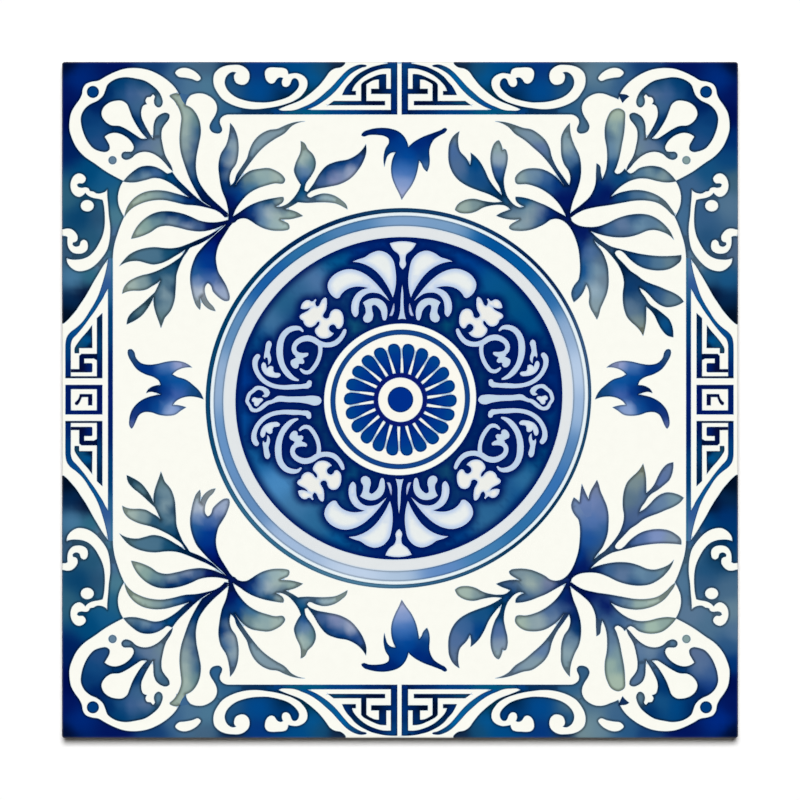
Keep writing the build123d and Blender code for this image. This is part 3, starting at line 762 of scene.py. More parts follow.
leaf([
    (-37.3, 40.3, 0), (-38.6, 40.6, 0), (-40.67, 38.75), (-43.2, 37.2), (-45.7, 36.1), (-48.2, 35.05),
    (-49.8, 34.5), (-51.5, 34.25), (-53.2, 34.3), (-55.25, 34.5), (-57.3, 34.3), (-59.4, 33.7),
    (-61.1, 32.75), (-62.3, 31.5), (-63.25, 30.25, 0), (-61.9, 31), (-60.5, 31.35), (-58.8, 31.35),
    (-57.3, 30.95), (-55.7, 30.6), (-54, 30.85), (-52.3, 31.55), (-50.7, 32.5), (-49.6, 33.15),
    (-48.4, 34, 0), (-49.4, 32.4), (-50.7, 31.4), (-51.9, 30.6), (-53.2, 29.9), (-54.8, 29.15),
    (-56.5, 28.55), (-58.2, 28.15), (-59.8, 27.55), (-61.1, 26.8), (-62.1, 25.7), (-62.6, 24, 0),
    (-61.5, 24.5), (-60.25, 24.7), (-58.6, 24.7), (-57.1, 25), (-55.9, 25.7), (-54.6, 26.5), (-54.05, 27, 0),
    (-54.6, 25.7), (-55.3, 24.3, 0), (-56.5, 23.2), (-57.75, 22), (-59, 20.95), (-60.25, 19.95),
    (-61.2, 18.8), (-61.6, 17.1, 0), (-60.5, 17.6), (-59.4, 18.2), (-58.2, 19.1), (-57.1, 20.45),
    (-56.3, 21.7), (-55.55, 23.3, 0), (-55.5, 21.5), (-55.1, 19.8), (-54.6, 18.4), (-54.2, 17.3),
    (-53.9, 16.3, 0), (-53.5, 17.3), (-53, 18.6), (-52.3, 19.4), (-51.7, 20.2), (-51.2, 21.3),
    (-50.8, 22.75), (-50.6, 24.8), (-50.5, 26.5), (-50.4, 28.2), (-50, 29.6), (-49.4, 31.1), (-48.8, 32.3),
    (-48, 33.4), (-47.4, 34.3), (-46.5, 34.7), (-45.25, 35.2), (-43.6, 36.1), (-41.9, 37.25), (-40.6, 38.55),
    (-39.2, 39.7, 0), (-40.25, 38.6), (-41.5, 37.5), (-43.2, 35.9), (-44.6, 34.4), (-45.9, 32.75),
    (-46.7, 30.9), (-47.2, 29), (-47.3, 26.9), (-47, 24.8), (-46.5, 22.75), (-45.9, 21.3), (-45.1, 20.4, 0),
    (-44.95, 21.3), (-45, 22.3), (-45, 23.1, 0), (-44.6, 22.1), (-43.8, 21.1), (-42.75, 20.4),
    (-41.6, 20.1, 0), (-42.1, 21.1), (-42.9, 21.9), (-43.6, 23), (-44, 24.4), (-43.9, 25.7), (-43.3, 26.4),
    (-42.6, 25.8), (-42.2, 24.6), (-41.3, 23.6), (-40.25, 22.75), (-39.3, 22.35), (-38.55, 22.5),
    (-38.4, 23.4), (-38.7, 24.6), (-39.3, 26.1), (-40, 27.3), (-40.9, 28.8), (-41.3, 30.25), (-41.5, 31.9),
    (-41.3, 33.6), (-40.75, 35.25), (-39.8, 36.9), (-39, 38.2), (-38.2, 39.4),
], [
    (-38.5, 39.8, NAVY), (-41, 36.5, (0, 12, 95)), (-42.6, 34.5, (0, 32, 120)), (-43.6, 32.2, (0, 50, 135)),
    (-44.3, 30, (0, 60, 142)), (-42.6, 30, (0, 50, 135)), (-46, 28.8, (30, 85, 145)),
    (-45.5, 26.9, (112, 138, 180)), (-43.6, 27.6, (60, 98, 160)), (-42, 27.3, (70, 105, 165)),
    (-45.8, 24.5, (165, 180, 200)), (-44.6, 24.3, (190, 200, 215)), (-42.9, 21.6, (170, 185, 190)),
    (-45.5, 22, (150, 170, 180)), (-41, 25.5, (150, 165, 200)), (-39.8, 24.2, (155, 172, 200)),
    (-40.5, 27, (70, 95, 140)), (-42, 37.8, NAVY), (-45.5, 35.6, (0, 25, 70)), (-48.3, 34.3, (0, 45, 90)),
    (-52, 33.2, (20, 75, 110)), (-55, 32.6, (75, 115, 140)), (-58, 33, (75, 115, 140)),
    (-61.5, 31.9, (75, 110, 125)), (-50, 31.3, (0, 55, 100)), (-52, 29.2, (30, 80, 115)),
    (-55, 27.7, (35, 80, 110)), (-58, 26.6, (130, 155, 160)), (-60.5, 26, (160, 180, 175)),
    (-62, 24.9, SAGE), (-52.3, 27, (90, 125, 145)), (-52.6, 24, (135, 160, 170)),
    (-53.3, 21, (110, 140, 155)), (-53.8, 18.6, (95, 125, 135)), (-54.7, 22.5, (70, 105, 130)),
    (-51.2, 25, (40, 75, 105)), (-56.4, 22.4, (40, 75, 95)), (-58.6, 20.3, (80, 115, 130)),
    (-60.7, 18.5, (40, 80, 105)),
], pair)
leaf([
    (-38.3, 62.5, 0), (-37.5, 61.5), (-36.8, 59.9), (-36.4, 57.5), (-36.5, 55.2), (-37, 53.2), (-38, 51.7),
    (-38.4, 50.2), (-38.15, 48.45, 0), (-37.4, 49.2), (-36.95, 50.6), (-35.5, 52.9), (-34.5, 54.5),
    (-34, 56.2), (-33.2, 58), (-31.5, 59.9), (-29.5, 60.9), (-27.5, 61.2), (-26, 61.9), (-24, 62.6),
    (-21.5, 62.87, 0), (-24.3, 61.9), (-26, 60.2), (-28.2, 58.9), (-30.2, 57.5), (-31.9, 55.9),
    (-33.2, 54.3), (-34.9, 52), (-36.4, 49.7), (-37.2, 48.3, 0), (-35.7, 50.3), (-33.9, 51.65),
    (-31.5, 52.2), (-29.5, 52.3), (-27.9, 51.7), (-26.5, 50.7), (-25.9, 49.6), (-26.2, 49), (-28.2, 48.9),
    (-30.2, 48.4), (-32.2, 47.7), (-34.2, 46.5), (-35.9, 44.7), (-37.2, 42.7), (-37.65, 41.45, 0),
    (-36.3, 42.3), (-34.9, 43.3), (-33.6, 44.05), (-32, 44.7), (-30.5, 45.15), (-29.1, 45.45),
    (-27.9, 45.65), (-26.9, 45.8), (-26.3, 45.8, 0), (-26.2, 45.1), (-26.6, 44.45), (-27.2, 44.05),
    (-27.95, 43.65, 0), (-27.2, 43.6), (-26.1, 43.9), (-25.2, 44.4), (-24.4, 45.15), (-23.6, 46.1),
    (-22.9, 47.2), (-22.35, 48.6, 0), (-23.4, 50.3), (-23.9, 51.8), (-23.6, 53.2), (-22.4, 56.2),
    (-22.4, 58.4, 0), (-21.5, 57.9), (-20.8, 56.6), (-19.7, 55.5), (-19, 53.8), (-19.2, 52.1), (-20, 50.6),
    (-21.3, 48.6), (-21.5, 47.3, 0), (-20.9, 46.95, 0), (-19.5, 48.8), (-18.2, 51), (-16.5, 52.9),
    (-14.3, 53.8), (-11.7, 54.3), (-9.5, 55.5), (-8.4, 56.6), (-7.7, 57.7, 0), (-7.6, 56), (-8.2, 54),
    (-9.5, 51.8), (-11.3, 49.9), (-13.6, 48.7), (-16.5, 48.05), (-19.1, 47.5), (-20.4, 46.85),
    (-20.95, 46.2), (-20.5, 45.7), (-19.1, 46.15), (-17.3, 46.6), (-15, 46.2), (-13.2, 45.1), (-12.1, 44),
    (-11.85, 43.05, 0), (-12.8, 43.6), (-14.3, 44.3), (-16.5, 44.6), (-18.7, 44.6), (-21, 44.5),
    (-23, 44.65, 0), (-24.7, 43.65), (-25.8, 43.1, 0), (-24.7, 42.9), (-23.6, 42.55), (-22.7, 42.1),
    (-21.9, 41.55, 0), (-22.7, 41.3), (-23.8, 41), (-24.9, 40.8), (-26.1, 40.75), (-27, 40.7, 0),
    (-26.1, 40.3), (-25.2, 39.8), (-24.9, 39.1), (-25.05, 38.55), (-25.8, 38.3), (-27.2, 38.2),
    (-28.6, 38.25), (-29.9, 38.5), (-31.3, 39), (-32.4, 39.6), (-33.6, 40.4), (-34.4, 40.85), (-35.5, 41),
    (-36.6, 40.7), (-37.4, 40), (-38.6, 40.4), (-38.6, 41.6, 0), (-39.2, 44.9), (-40.2, 47.5), (-40.7, 50.2),
    (-40.9, 53.2), (-40.4, 55.5), (-39.2, 57.5), (-38.5, 60.2),
], [
    (-37.6, 60.5, (90, 118, 148)), (-37.6, 57, (140, 162, 175)), (-39.4, 55.5, (60, 100, 145)),
    (-38.2, 54, (150, 165, 175)), (-40.2, 52, (0, 45, 105)), (-39, 51, (90, 115, 145)),
    (-39.6, 48.5, (0, 45, 105)), (-38.3, 45, NAVY), (-31.8, 57.3, (130, 156, 170)),
    (-28.4, 60.3, (128, 152, 166)), (-23.6, 62.4, (120, 146, 156)), (-34.6, 53, (80, 112, 142)),
    (-36.9, 49.3, (0, 50, 112)), (-34.4, 49.7, (110, 136, 140)), (-33.4, 47.6, (60, 112, 152)),
    (-31.8, 50.8, (150, 175, 174)), (-28, 50.2, (162, 182, 176)), (-30.3, 49, (140, 168, 172)),
    (-36.3, 46, (0, 60, 132)), (-37.3, 43.5, NAVY), (-38.2, 42, NAVY), (-35.5, 42, NAVY),
    (-33.4, 43.2, (0, 50, 118)), (-31.7, 42.4, (110, 142, 172)), (-29.5, 42.4, (175, 190, 195)),
    (-27.7, 41.2, (166, 186, 180)), (-29.6, 44.7, (20, 70, 115)), (-27, 45, (150, 170, 170)),
    (-28.5, 39.6, (150, 176, 182)), (-31.2, 40, (100, 138, 170)), (-33, 41, (0, 35, 100)),
    (-26, 39.2, (165, 190, 188)), (-24.5, 42, (150, 175, 170)), (-22.8, 41.6, (140, 160, 160)),
    (-26.3, 43.5, (70, 95, 120)), (-24, 45.3, (15, 70, 118)), (-21.8, 47.6, (0, 75, 125)),
    (-21.7, 49.6, (30, 80, 140)), (-21.5, 51.5, (112, 142, 176)), (-21.8, 54.2, (165, 186, 180)),
    (-21.9, 57.4, (150, 170, 165)), (-23.4, 51.3, (70, 108, 140)), (-19.5, 53, (90, 128, 140)),
    (-19.8, 47.4, (15, 62, 110)), (-18.3, 49.2, (62, 92, 142)), (-16.5, 51.8, (5, 55, 115)),
    (-14.9, 50, (132, 142, 180)), (-11.3, 51.6, (158, 168, 195)), (-9, 54.6, (60, 90, 145)),
    (-7.8, 57, (10, 42, 82)), (-13, 53.6, (0, 55, 120)), (-10, 55, (0, 50, 120)),
    (-20.3, 45.4, (90, 122, 152)), (-16.7, 45.5, (150, 175, 185)), (-13.4, 44.9, (165, 188, 185)),
], pair)
crest = [
    (49.3, 65.8), (47.7, 65.2), (46.7, 63.5), (46.2, 61.5), (46.2, 59.2), (46.6, 56.9), (46.7, 54.2),
    (46.4, 51.9), (45.6, 49.9, 0), (45.3, 51.2), (45, 52.9), (44.3, 53.4, 0), (44.2, 51.5), (44, 48.5),
    (43, 46.2), (41, 44.2), (39.3, 42.9), (37.9, 41.7, 0), (38.6, 41.2, 0), (41, 42.7), (44, 43.5),
    (47.3, 44), (50, 44.5), (53, 45), (55.7, 45), (58, 44.5), (60, 43.2), (61.3, 41.9), (62.1, 41.35, 0),
    (61.8, 42.2), (61, 43.4), (59.7, 45), (58, 46.2), (56, 47), (53.3, 47.4), (51.3, 47.2), (49.3, 46.7),
    (47.6, 45.9, 0), (49.3, 47.8), (52, 49.5), (54, 50), (56, 49.9), (58, 49.4), (60, 49.1),
    (62.3, 49.35, 0), (60.7, 51.2), (59, 52.4), (57.3, 52.8), (55.3, 52.7), (53.7, 52.2), (52.6, 51.35),
    (51.9, 51.1), (51.2, 51.6, 0), (50.6, 52.2, 0), (49.8, 51.3), (49, 51), (48.4, 51.4), (48.8, 52.5),
    (49.5, 54.9), (50, 57.5), (50.5, 60.2), (50.7, 62.9), (50.5, 65.2),
]
crest_root = [(46.5, 46.5, NAVY), (42, 43.8, NAVY), (38.6, 41.6, NAVY)]
leaf(crest, crest_root + [
    (48.8, 64.3, (165, 185, 170)), (48.4, 61, (155, 180, 172)), (50, 61, (110, 140, 158)),
    (49.6, 57.2, (120, 150, 165)), (47.3, 56.4, (98, 134, 164)), (47.2, 60, (70, 104, 135)),
    (47.8, 52.3, (30, 80, 130)), (44.8, 51.6, (60, 98, 140)), (44.6, 48.2, (0, 40, 105)),
    (49.5, 50.2, (10, 68, 122)), (54.1, 51.1, (80, 120, 150)), (56.6, 51.8, (125, 155, 165)),
    (59.5, 50.4, (130, 155, 160)), (61.5, 49.8, (85, 115, 138)), (57.5, 52.5, (40, 80, 118)),
    (50, 46.2, (20, 70, 122)), (53.6, 46.3, (75, 112, 146)), (57.3, 46.1, (112, 142, 162)),
    (60.4, 44.2, (112, 138, 152)),
], [upright])
leaf(crest, crest_root + [
    (48.8, 63.3, (165, 186, 170)), (47.9, 59.7, (150, 176, 166)), (49.8, 60, (115, 145, 155)),
    (49.1, 57.4, (120, 150, 160)), (46.9, 56.4, (105, 136, 162)), (47.3, 54, (90, 120, 150)),
    (45.4, 51.6, (78, 108, 145)), (44.4, 47.8, (40, 75, 125)), (49, 50.2, (50, 88, 135)),
    (51.8, 50.3, (80, 112, 150)), (53.8, 50.8, (112, 142, 160)), (56.4, 51.2, (165, 190, 175)),
    (60, 50.2, (140, 165, 160)), (49, 45.2, (60, 95, 140)), (51, 45.6, (100, 130, 155)),
    (53.8, 46.1, (150, 175, 170)), (57.3, 45.6, (170, 190, 180)), (60.6, 43.6, (150, 170, 165)),
], [turned_over])
fan = [
    (38.6, 40.6, 0), (39.3, 39.9), (40.3, 39.4), (42.3, 39.05), (44.7, 39.2), (46.7, 39.9), (49, 41),
    (51.3, 41.7), (54, 42), (56.3, 41.7), (58.3, 40.7), (60, 39.2), (61.2, 37.5), (61.7, 36.2, 0),
    (60.7, 37.2), (59, 38), (57.3, 38.4), (55.7, 38.2), (54, 37.5), (52, 36.9), (49.3, 36.7), (46.7, 37),
    (44.7, 37.5), (43, 38.1, 0), (44.2, 36.9), (46.1, 35.5), (47.75, 34.6), (49.6, 34.1), (51.5, 33.6),
    (53.6, 33.1), (55.7, 32.75), (58.2, 32.5), (60.7, 32.5), (62.3, 32.6), (63.4, 32.75, 0), (63.3, 31.5),
    (62.3, 30.5), (60.7, 29.6), (58.6, 29.25), (56.5, 29.4), (54.4, 30), (52.75, 31), (51.5, 32.1),
    (50.5, 33.2), (49.6, 33.75), (48.8, 33.7), (48.45, 33.2), (48.8, 32.5), (49.3, 31.9), (50, 31.2),
    (50.9, 30.25), (51.9, 29.2), (53.4, 28.2), (54.8, 27.1), (56.5, 26.3), (58.2, 25.7), (59.8, 25),
    (61.7, 24.2), (63.2, 23.2), (63.96, 22.2, 0), (63, 21.6), (61.5, 21.1), (60, 21), (58.6, 21.5),
    (57.3, 22.5), (56.3, 23.6), (55.25, 24.6), (54, 25.35, 0), (54.5, 24.2), (55.25, 23.2), (55.9, 22.1),
    (56.7, 21.3), (58, 20.5), (59.4, 19.4), (60.7, 18.2), (61.3, 16.9), (61.6, 15.25), (61.6, 14.2, 0),
    (60.25, 14.6), (59, 15.9), (58.2, 17.3), (57.3, 19.2), (56.5, 20.25), (55.5, 21.1, 0), (55.5, 19.4),
    (55.4, 17.3), (55.1, 15.7), (54.8, 14.5, 0), (54.4, 15.25), (53.4, 16.5), (52.3, 17.5), (51.3, 18.6),
    (50.6, 20.25), (50.25, 22.3), (50.25, 24.4), (50.5, 26.3), (50.4, 27.3), (50, 28.8), (49.2, 30.5),
    (48.2, 31.9), (47.1, 33.2), (46.1, 34.2), (45, 35), (43.8, 35.95, 0), (44.4, 35), (45.5, 33.6),
    (46.3, 31.9), (46.8, 30.25), (47, 28.2), (47, 26.1), (46.6, 24), (45.9, 22.3), (45.2, 20.7), (44.75, 19),
    (44.4, 18.2, 0), (43.7, 19.4), (42.96, 20.7), (42.6, 21.9), (42.7, 23.6), (42.5, 25), (42, 26.1, 0),
    (41.7, 25.25), (41.1, 24), (40, 22.75), (39.2, 22.1, 0), (38.8, 23), (38.6, 24), (38.8, 25),
    (39.4, 26.1), (40.2, 27.1), (40.5, 28.4), (40.6, 30), (40.5, 31.9), (40.25, 34), (39.8, 35.7),
    (39.2, 37.3), (38.4, 38.8), (37.4, 40, 0),
]
palm = [
    (39, 39.6, NAVY), (41.5, 37.5, NAVY), (44, 38.5, (0, 30, 95)), (47, 38.5, (60, 100, 145)),
    (50, 39.3, (100, 125, 160)), (54, 39.8, (110, 145, 170)), (57, 40, (90, 125, 155)),
    (59.5, 38.6, (110, 140, 155)), (61.2, 36.9, (90, 115, 125)), (50, 37.3, (70, 100, 135)),
    (53, 41.4, (40, 80, 125)), (44.2, 36.2, (50, 85, 120)), (47, 34.3, (60, 92, 128)),
]
upper_fan = [
    (49, 34.1, (20, 60, 100)), (52, 32.5, (10, 60, 115)), (55, 31.4, (45, 90, 135)),
    (58, 31, (80, 118, 148)), (61, 31.3, (100, 130, 146)), (62.8, 32, (75, 100, 120)),
    (40, 34.5, (0, 40, 110)), (42.8, 33.6, (80, 115, 160)), (46, 31.5, (88, 112, 135)),
    (41, 29.3, (20, 80, 140)), (44.5, 29.3, (122, 152, 172)), (46, 27, (110, 132, 150)),
    (43.8, 25, (150, 175, 190)), (44.2, 21, (135, 158, 168)), (39.8, 25, (60, 105, 150)),
    (48.5, 32, (0, 45, 80)), (50.3, 29.5, (0, 35, 78)), (51.9, 25.5, (12, 58, 108)),
    (53.2, 26.5, (15, 55, 100)), (56.4, 25.2, (12, 66, 122)), (58, 23.8, (52, 92, 135)),
    (61, 22.4, (96, 126, 146)), (52.5, 21, (90, 118, 145)), (54.6, 22.5, (48, 84, 120)),
    (53.8, 17.6, (120, 141, 146)), (54.6, 15.6, (140, 150, 135)), (57.5, 19.2, (0, 48, 95)),
    (59.9, 16.8, (10, 80, 135)), (61, 15.5, (5, 60, 115)),
]
lower_fan = [
    (49, 34.1, (50, 80, 118)), (50.8, 32.6, (40, 72, 122)), (54, 31.3, (82, 112, 165)),
    (57.7, 30.9, (128, 148, 196)), (61.8, 31.8, (130, 150, 170)), (40, 35.4, (0, 50, 128)),
    (43, 31.5, (30, 82, 152)), (45.8, 30, (50, 95, 150)), (43.8, 27.5, (82, 116, 174)),
    (45.5, 25.4, (98, 122, 170)), (42.8, 23.2, (112, 132, 180)), (44, 19.8, (112, 128, 162)),
    (39.9, 24, (110, 135, 175)), (48.5, 32.5, (40, 75, 120)), (50.9, 29, (52, 84, 134)),
    (52.8, 26.3, (75, 100, 140)), (51.6, 22.8, (92, 118, 136)), (53.4, 19, (122, 142, 146)),
    (54.6, 15.6, (140, 150, 135)), (55.4, 26.3, (68, 98, 148)), (58.5, 23.7, (100, 130, 165)),
    (61.8, 22.3, (120, 150, 165)), (56.4, 20.9, (68, 98, 140)), (58.6, 18.2, (90, 115, 165)),
    (60.8, 15.6, (96, 120, 160)),
]
leaf(fan, palm + upper_fan, [upright])
leaf(fan, palm + lower_fan, [turned_over])
leaf([
    (42.7, 21.9, 0), (42.5, 22.5, 0), (41.9, 21.2), (41, 19.1, 0), (40.75, 20.6), (40.45, 23.2, 0),
    (39.9, 22.7, 0), (40.6, 24.4, 0), (42, 26.6, 0), (43.1, 26.3, 0), (43.2, 23, 0),
], [
    (41.2, 20, (100, 122, 165)), (41.6, 23, (108, 130, 178)), (42.2, 26, (95, 122, 172)),
], [turned_over])
bough = [
    (38.3, 62.5, 0), (37.2, 61.2), (36.4, 59.5), (36.3, 57.2), (36.4, 55.2), (37, 53.2), (38, 51.7),
    (38.4, 50.2), (38.1, 48.5, 0), (37, 50.1), (35.3, 52.5), (34.2, 54.9), (33.7, 56.9), (32.7, 58.7),
    (31.3, 60), (29.7, 61), (27.7, 61.4), (26, 62), (24, 62.6), (21.5, 62.87, 0), (24.3, 61.7), (26, 60),
    (28, 58.7), (30, 57), (32, 55.2), (33.7, 53.2), (35.3, 50.9), (36.95, 48.35, 0), (35.7, 49.9),
    (34.3, 51), (32.3, 52), (30, 52.3), (28, 52), (26.7, 51.2), (25.95, 50.1), (26.1, 49), (28.7, 48.7),
    (31, 48), (33.3, 46.7), (35.3, 44.9), (36.7, 42.9), (37.4, 41.45, 0), (35.8, 42.3), (34.4, 43.1),
    (32.7, 44), (31.3, 44.55), (29.7, 45.2), (28.3, 45.6), (27.2, 45.8), (26.05, 45.85, 0), (26.1, 45.1),
    (26.5, 44.5), (27, 44.1), (27.95, 43.7, 0), (27.2, 43.45), (26.3, 43.7), (25.5, 44.25), (24.9, 44.9),
    (24.25, 45.8), (23.8, 46.9), (23.5, 48.2), (23.4, 49.6), (23.7, 51.4), (24.2, 53.6), (24.2, 55.5),
    (23.7, 56.6), (23.1, 56.4, 0), (22.8, 57.7), (22.2, 58.6), (21.4, 58.05), (20.7, 56.6), (20.4, 54.7),
    (20.7, 52.1), (21.4, 49.9), (22.4, 48.05), (22.95, 46.2, 0), (21.3, 48), (20, 49.9), (19, 52.1),
    (17.7, 54.2), (15.9, 55.8, 0), (16, 54.3), (15.8, 53.05, 0), (15, 54.5), (13.5, 56.2), (13.1, 58.05),
    (13.4, 60.6, 0), (12, 59.5), (11.2, 58.05), (10.9, 55.8), (11.1, 53.2), (11.8, 51.4), (13.1, 49.7),
    (15, 48.4), (17.6, 47.3), (20.1, 46.4), (23, 44.75, 0), (21.3, 44.6), (18.7, 44.95), (16.8, 45.4),
    (14.6, 45.1), (12.9, 44), (12.4, 42.9, 0), (13.1, 42.4), (15, 42.1), (17, 42.5), (18.7, 43.4),
    (20.5, 43.9), (22.4, 44.05), (23.6, 43.9), (24.85, 43, 0), (23.7, 42.6), (22.7, 42.2), (21.7, 41.6, 0),
    (22.7, 41.2), (23.8, 40.9), (25.2, 40.7), (27, 40.8, 0), (26.3, 40.4), (25.4, 39.9), (24.7, 39.3),
    (24.6, 38.8), (25.1, 38.4), (26.3, 38.2), (28, 38.2), (29.7, 38.5), (31.3, 39.1), (32.7, 39.8),
    (33.8, 40.6), (34.9, 40.9), (36.05, 40.75), (37.4, 39.95, 0), (38.7, 40.6, 0), (38.3, 41.8, 0),
    (39, 44.9), (40, 47.5), (40.7, 50.2), (40.8, 52.9), (40.4, 55.2), (39.3, 57.5), (38.5, 59.9),
]
bough_root = [
    (38.4, 45, NAVY), (38.1, 42, NAVY), (40, 52, (0, 45, 100)), (39.2, 49, (0, 32, 95)),
    (37.8, 57, (140, 165, 175)), (37.6, 60.5, (120, 148, 160)),
]
leaf(bough, bough_root + [
    (39, 55, (90, 125, 160)), (37.8, 53.5, (70, 108, 145)), (32, 59.4, (128, 154, 162)),
    (29.3, 59.9, (118, 144, 164)), (25, 61.5, (108, 134, 146)), (31.8, 57.4, (90, 116, 160)),
    (34.2, 54.4, (70, 104, 140)), (36.8, 50, (20, 60, 110)), (27, 50, (142, 166, 170)),
    (30.5, 50.7, (110, 140, 165)), (33.4, 50.2, (60, 100, 150)), (35.6, 49, (0, 50, 120)),
    (33, 47.8, (30, 78, 135)), (36.5, 45.5, NAVY), (35.5, 42, NAVY), (34.2, 42.4, (0, 40, 110)),
    (31.7, 42.6, (110, 132, 160)), (29.3, 43, (132, 156, 166)), (28.8, 40.8, (140, 160, 170)),
    (28, 45, (12, 78, 130)), (25.7, 42.2, (118, 142, 155)), (26, 39.2, (140, 165, 175)),
    (32, 40, (60, 98, 140)), (33.4, 41, (0, 35, 100)), (25.3, 43.7, (60, 95, 130)),
    (24.3, 44.6, (25, 75, 115)), (23.2, 46.5, (0, 55, 105)), (22.5, 48.9, (0, 56, 112)),
    (21.8, 51.4, (50, 90, 145)), (22.2, 54.2, (150, 170, 185)), (22, 57.2, (140, 165, 170)),
    (21.5, 46.6, (0, 55, 108)), (18, 49.8, (20, 75, 130)), (16.6, 53, (0, 68, 128)),
    (13.6, 52.8, (80, 110, 150)), (12, 56.2, (72, 106, 155)), (13.2, 59.6, (100, 125, 145)),
    (20.8, 44.3, (45, 80, 110)), (17.5, 43.8, (120, 145, 150)), (14.5, 43.5, (155, 176, 170)),
], [upright])
leaf(bough, bough_root + [
    (39, 55, (110, 138, 160)), (37.8, 53.5, (100, 130, 155)), (31.6, 59.6, (135, 160, 170)),
    (29.3, 60.2, (130, 155, 170)), (25.2, 61.5, (110, 135, 160)), (31.8, 56.8, (95, 125, 165)),
    (34.3, 53.6, (80, 110, 140)), (36.7, 49.8, (40, 75, 125)), (27, 50.4, (165, 185, 172)),
    (31.4, 50.2, (150, 170, 175)), (35, 49.2, (110, 135, 165)), (33.8, 47.2, (72, 105, 150)),
    (37, 47, (50, 80, 130)), (36.5, 44, (0, 40, 105)), (36.6, 41.4, (25, 55, 115)),
    (33.8, 41, (120, 132, 162)), (29.4, 41.4, (160, 178, 172)), (27, 39.4, (125, 148, 158)),
    (24.8, 41.7, (62, 92, 132)), (28.2, 44.8, (60, 95, 135)), (24.5, 43.9, (0, 52, 110)),
    (31, 39.4, (110, 138, 150)), (23.2, 46.5, (0, 62, 118)), (23, 48.6, (10, 70, 125)),
    (22.5, 52, (80, 110, 160)), (22.6, 55.5, (130, 150, 175)), (22, 57.5, (140, 165, 175)),
    (21.2, 46.7, (0, 70, 125)), (18, 48.6, (20, 80, 132)), (17.8, 52, (0, 62, 130)),
    (14.9, 51.5, (60, 100, 150)), (12.6, 54.3, (80, 110, 155)), (12.2, 57.6, (90, 115, 150)),
    (20.7, 44.2, (60, 90, 118)), (18, 43.5, (130, 152, 156)), (14.9, 43.6, (165, 185, 175)),
], [turned_over])


# The lilies: one stands in the middle of each side, between the sprays, brushed on from a dark heart to a
# pale foot. The one above is turned over for the one below, and the left one is turned round for the right.
def turned_round(p):
    """The place of a right copy, mirrored across the tile's upright middle line."""
    return np.column_stack([-0.3 - p[:, 0], p[:, 1]])


lay([
    (-8.7, 59.7), (-8.2, 60.5), (-6.9, 61), (-4.3, 61.4), (-2.1, 61.2), (-0.2, 60.5), (1.1, 59.2),
    (1.9, 57.1, 0), (3.1, 58.2), (5, 59.3), (7.6, 60.3), (9.4, 61), (10.1, 61.4), (10.6, 61.1), (10.3, 60.5),
    (9, 59.7), (7.7, 58.8), (7, 57.7), (6.6, 56.2), (6.7, 54.3), (6.6, 52.9), (6.1, 51.5, 0), (5.3, 52.3),
    (4.7, 53.6), (4.3, 54, 0), (4, 52.1), (3.5, 50.3), (2.6, 48.4), (1.3, 46.6), (0.4, 45.2, 0),
    (-0.2, 46.6), (-1.1, 48.4), (-1.8, 50.3), (-2, 52.5), (-1.7, 54.3), (-1, 55.9, 0), (-1.9, 55.8),
    (-2.8, 55.1), (-3.2, 54), (-3.5, 52.7, 0), (-3.7, 54), (-3.6, 55.5), (-3.2, 56.9), (-2.5, 58.05),
    (-2.6, 59), (-3.4, 59.5), (-5, 59.8), (-6.9, 59.8), (-8.4, 59.5),
], [
    (-6, 60.5, (0, 35, 110)), (-2, 60.2, (0, 35, 110)), (7.5, 59.6, (0, 35, 110)), (4, 57.5, (0, 40, 120)),
    (0, 58, (0, 60, 140)), (-3, 56, (5, 60, 130)), (2, 55, (0, 70, 150)), (5.5, 55, (0, 55, 125)),
    (1.2, 52, (60, 110, 180)), (0.8, 49, (130, 155, 205)), (0.4, 46.8, LILAC), (5.9, 52.7, (70, 110, 160)),
], 0.6, 0.5, pair)
lay([
    (-61.4, 10.8), (-61.2, 11.4), (-60.5, 11.5), (-60, 11), (-59.5, 9.5), (-58.4, 8.4), (-56.6, 8),
    (-54.7, 8.2), (-52.5, 8.7), (-50.3, 8.85), (-48.4, 8.4), (-46.9, 7.4, 0), (-48.8, 7.3), (-50.3, 6.7),
    (-51.3, 5.85, 0), (-50.3, 5.3), (-48.4, 4.7), (-46.6, 3.4), (-45.1, 1.9), (-44.3, 0.2, 0), (-45.8, 0.7),
    (-48.05, 0.8), (-49.9, 0.2), (-50.8, -0.5), (-51.2, -1.1, 0), (-50.3, -1.1), (-49.2, -1.3),
    (-48.2, -1.6, 0), (-49.5, -2.4), (-50.6, -3.2), (-52.5, -3.5), (-54.3, -3.3), (-56.2, -2.7),
    (-57.7, -2.7), (-58.8, -3.3), (-59.5, -4.6), (-60.1, -5.9), (-60.5, -6.4), (-60.9, -5.9), (-61, -4.2),
    (-60.5, -2.4), (-59.2, -0.7), (-57.3, 0.5), (-55.5, 1.04), (-54, 1.3, 0), (-55.1, 1.7), (-56.2, 1.9),
    (-57.2, 1.6, 0), (-56.8, 2.4), (-55.5, 3.2), (-54, 3.4, 0), (-54.3, 4.3), (-55.5, 5.2), (-57.3, 5.8),
    (-59.2, 6.9), (-60.5, 8.6), (-61.2, 9.9),
], [
    (-49.8, 8, (150, 162, 205)), (-53, 7.8, (80, 118, 178)), (-57, 6.9, (0, 50, 130)),
    (-60.7, 10.6, (40, 80, 130)), (-53, 5, (0, 72, 148)), (-50, 3.8, (5, 80, 155)),
    (-50.2, 1.8, (70, 100, 170)), (-46, 1.7, (20, 70, 125)), (-55.3, 2.4, (0, 25, 85)),
    (-53, 1.8, (0, 50, 130)), (-57.5, -0.8, (0, 45, 120)), (-54.5, -1.2, (5, 68, 142)),
    (-52, -2, (150, 172, 215)), (-60.2, -3.5, (20, 50, 120)), (-60.5, -5.8, (100, 120, 180)),
], 0.6, 0.5, [upright, turned_round])


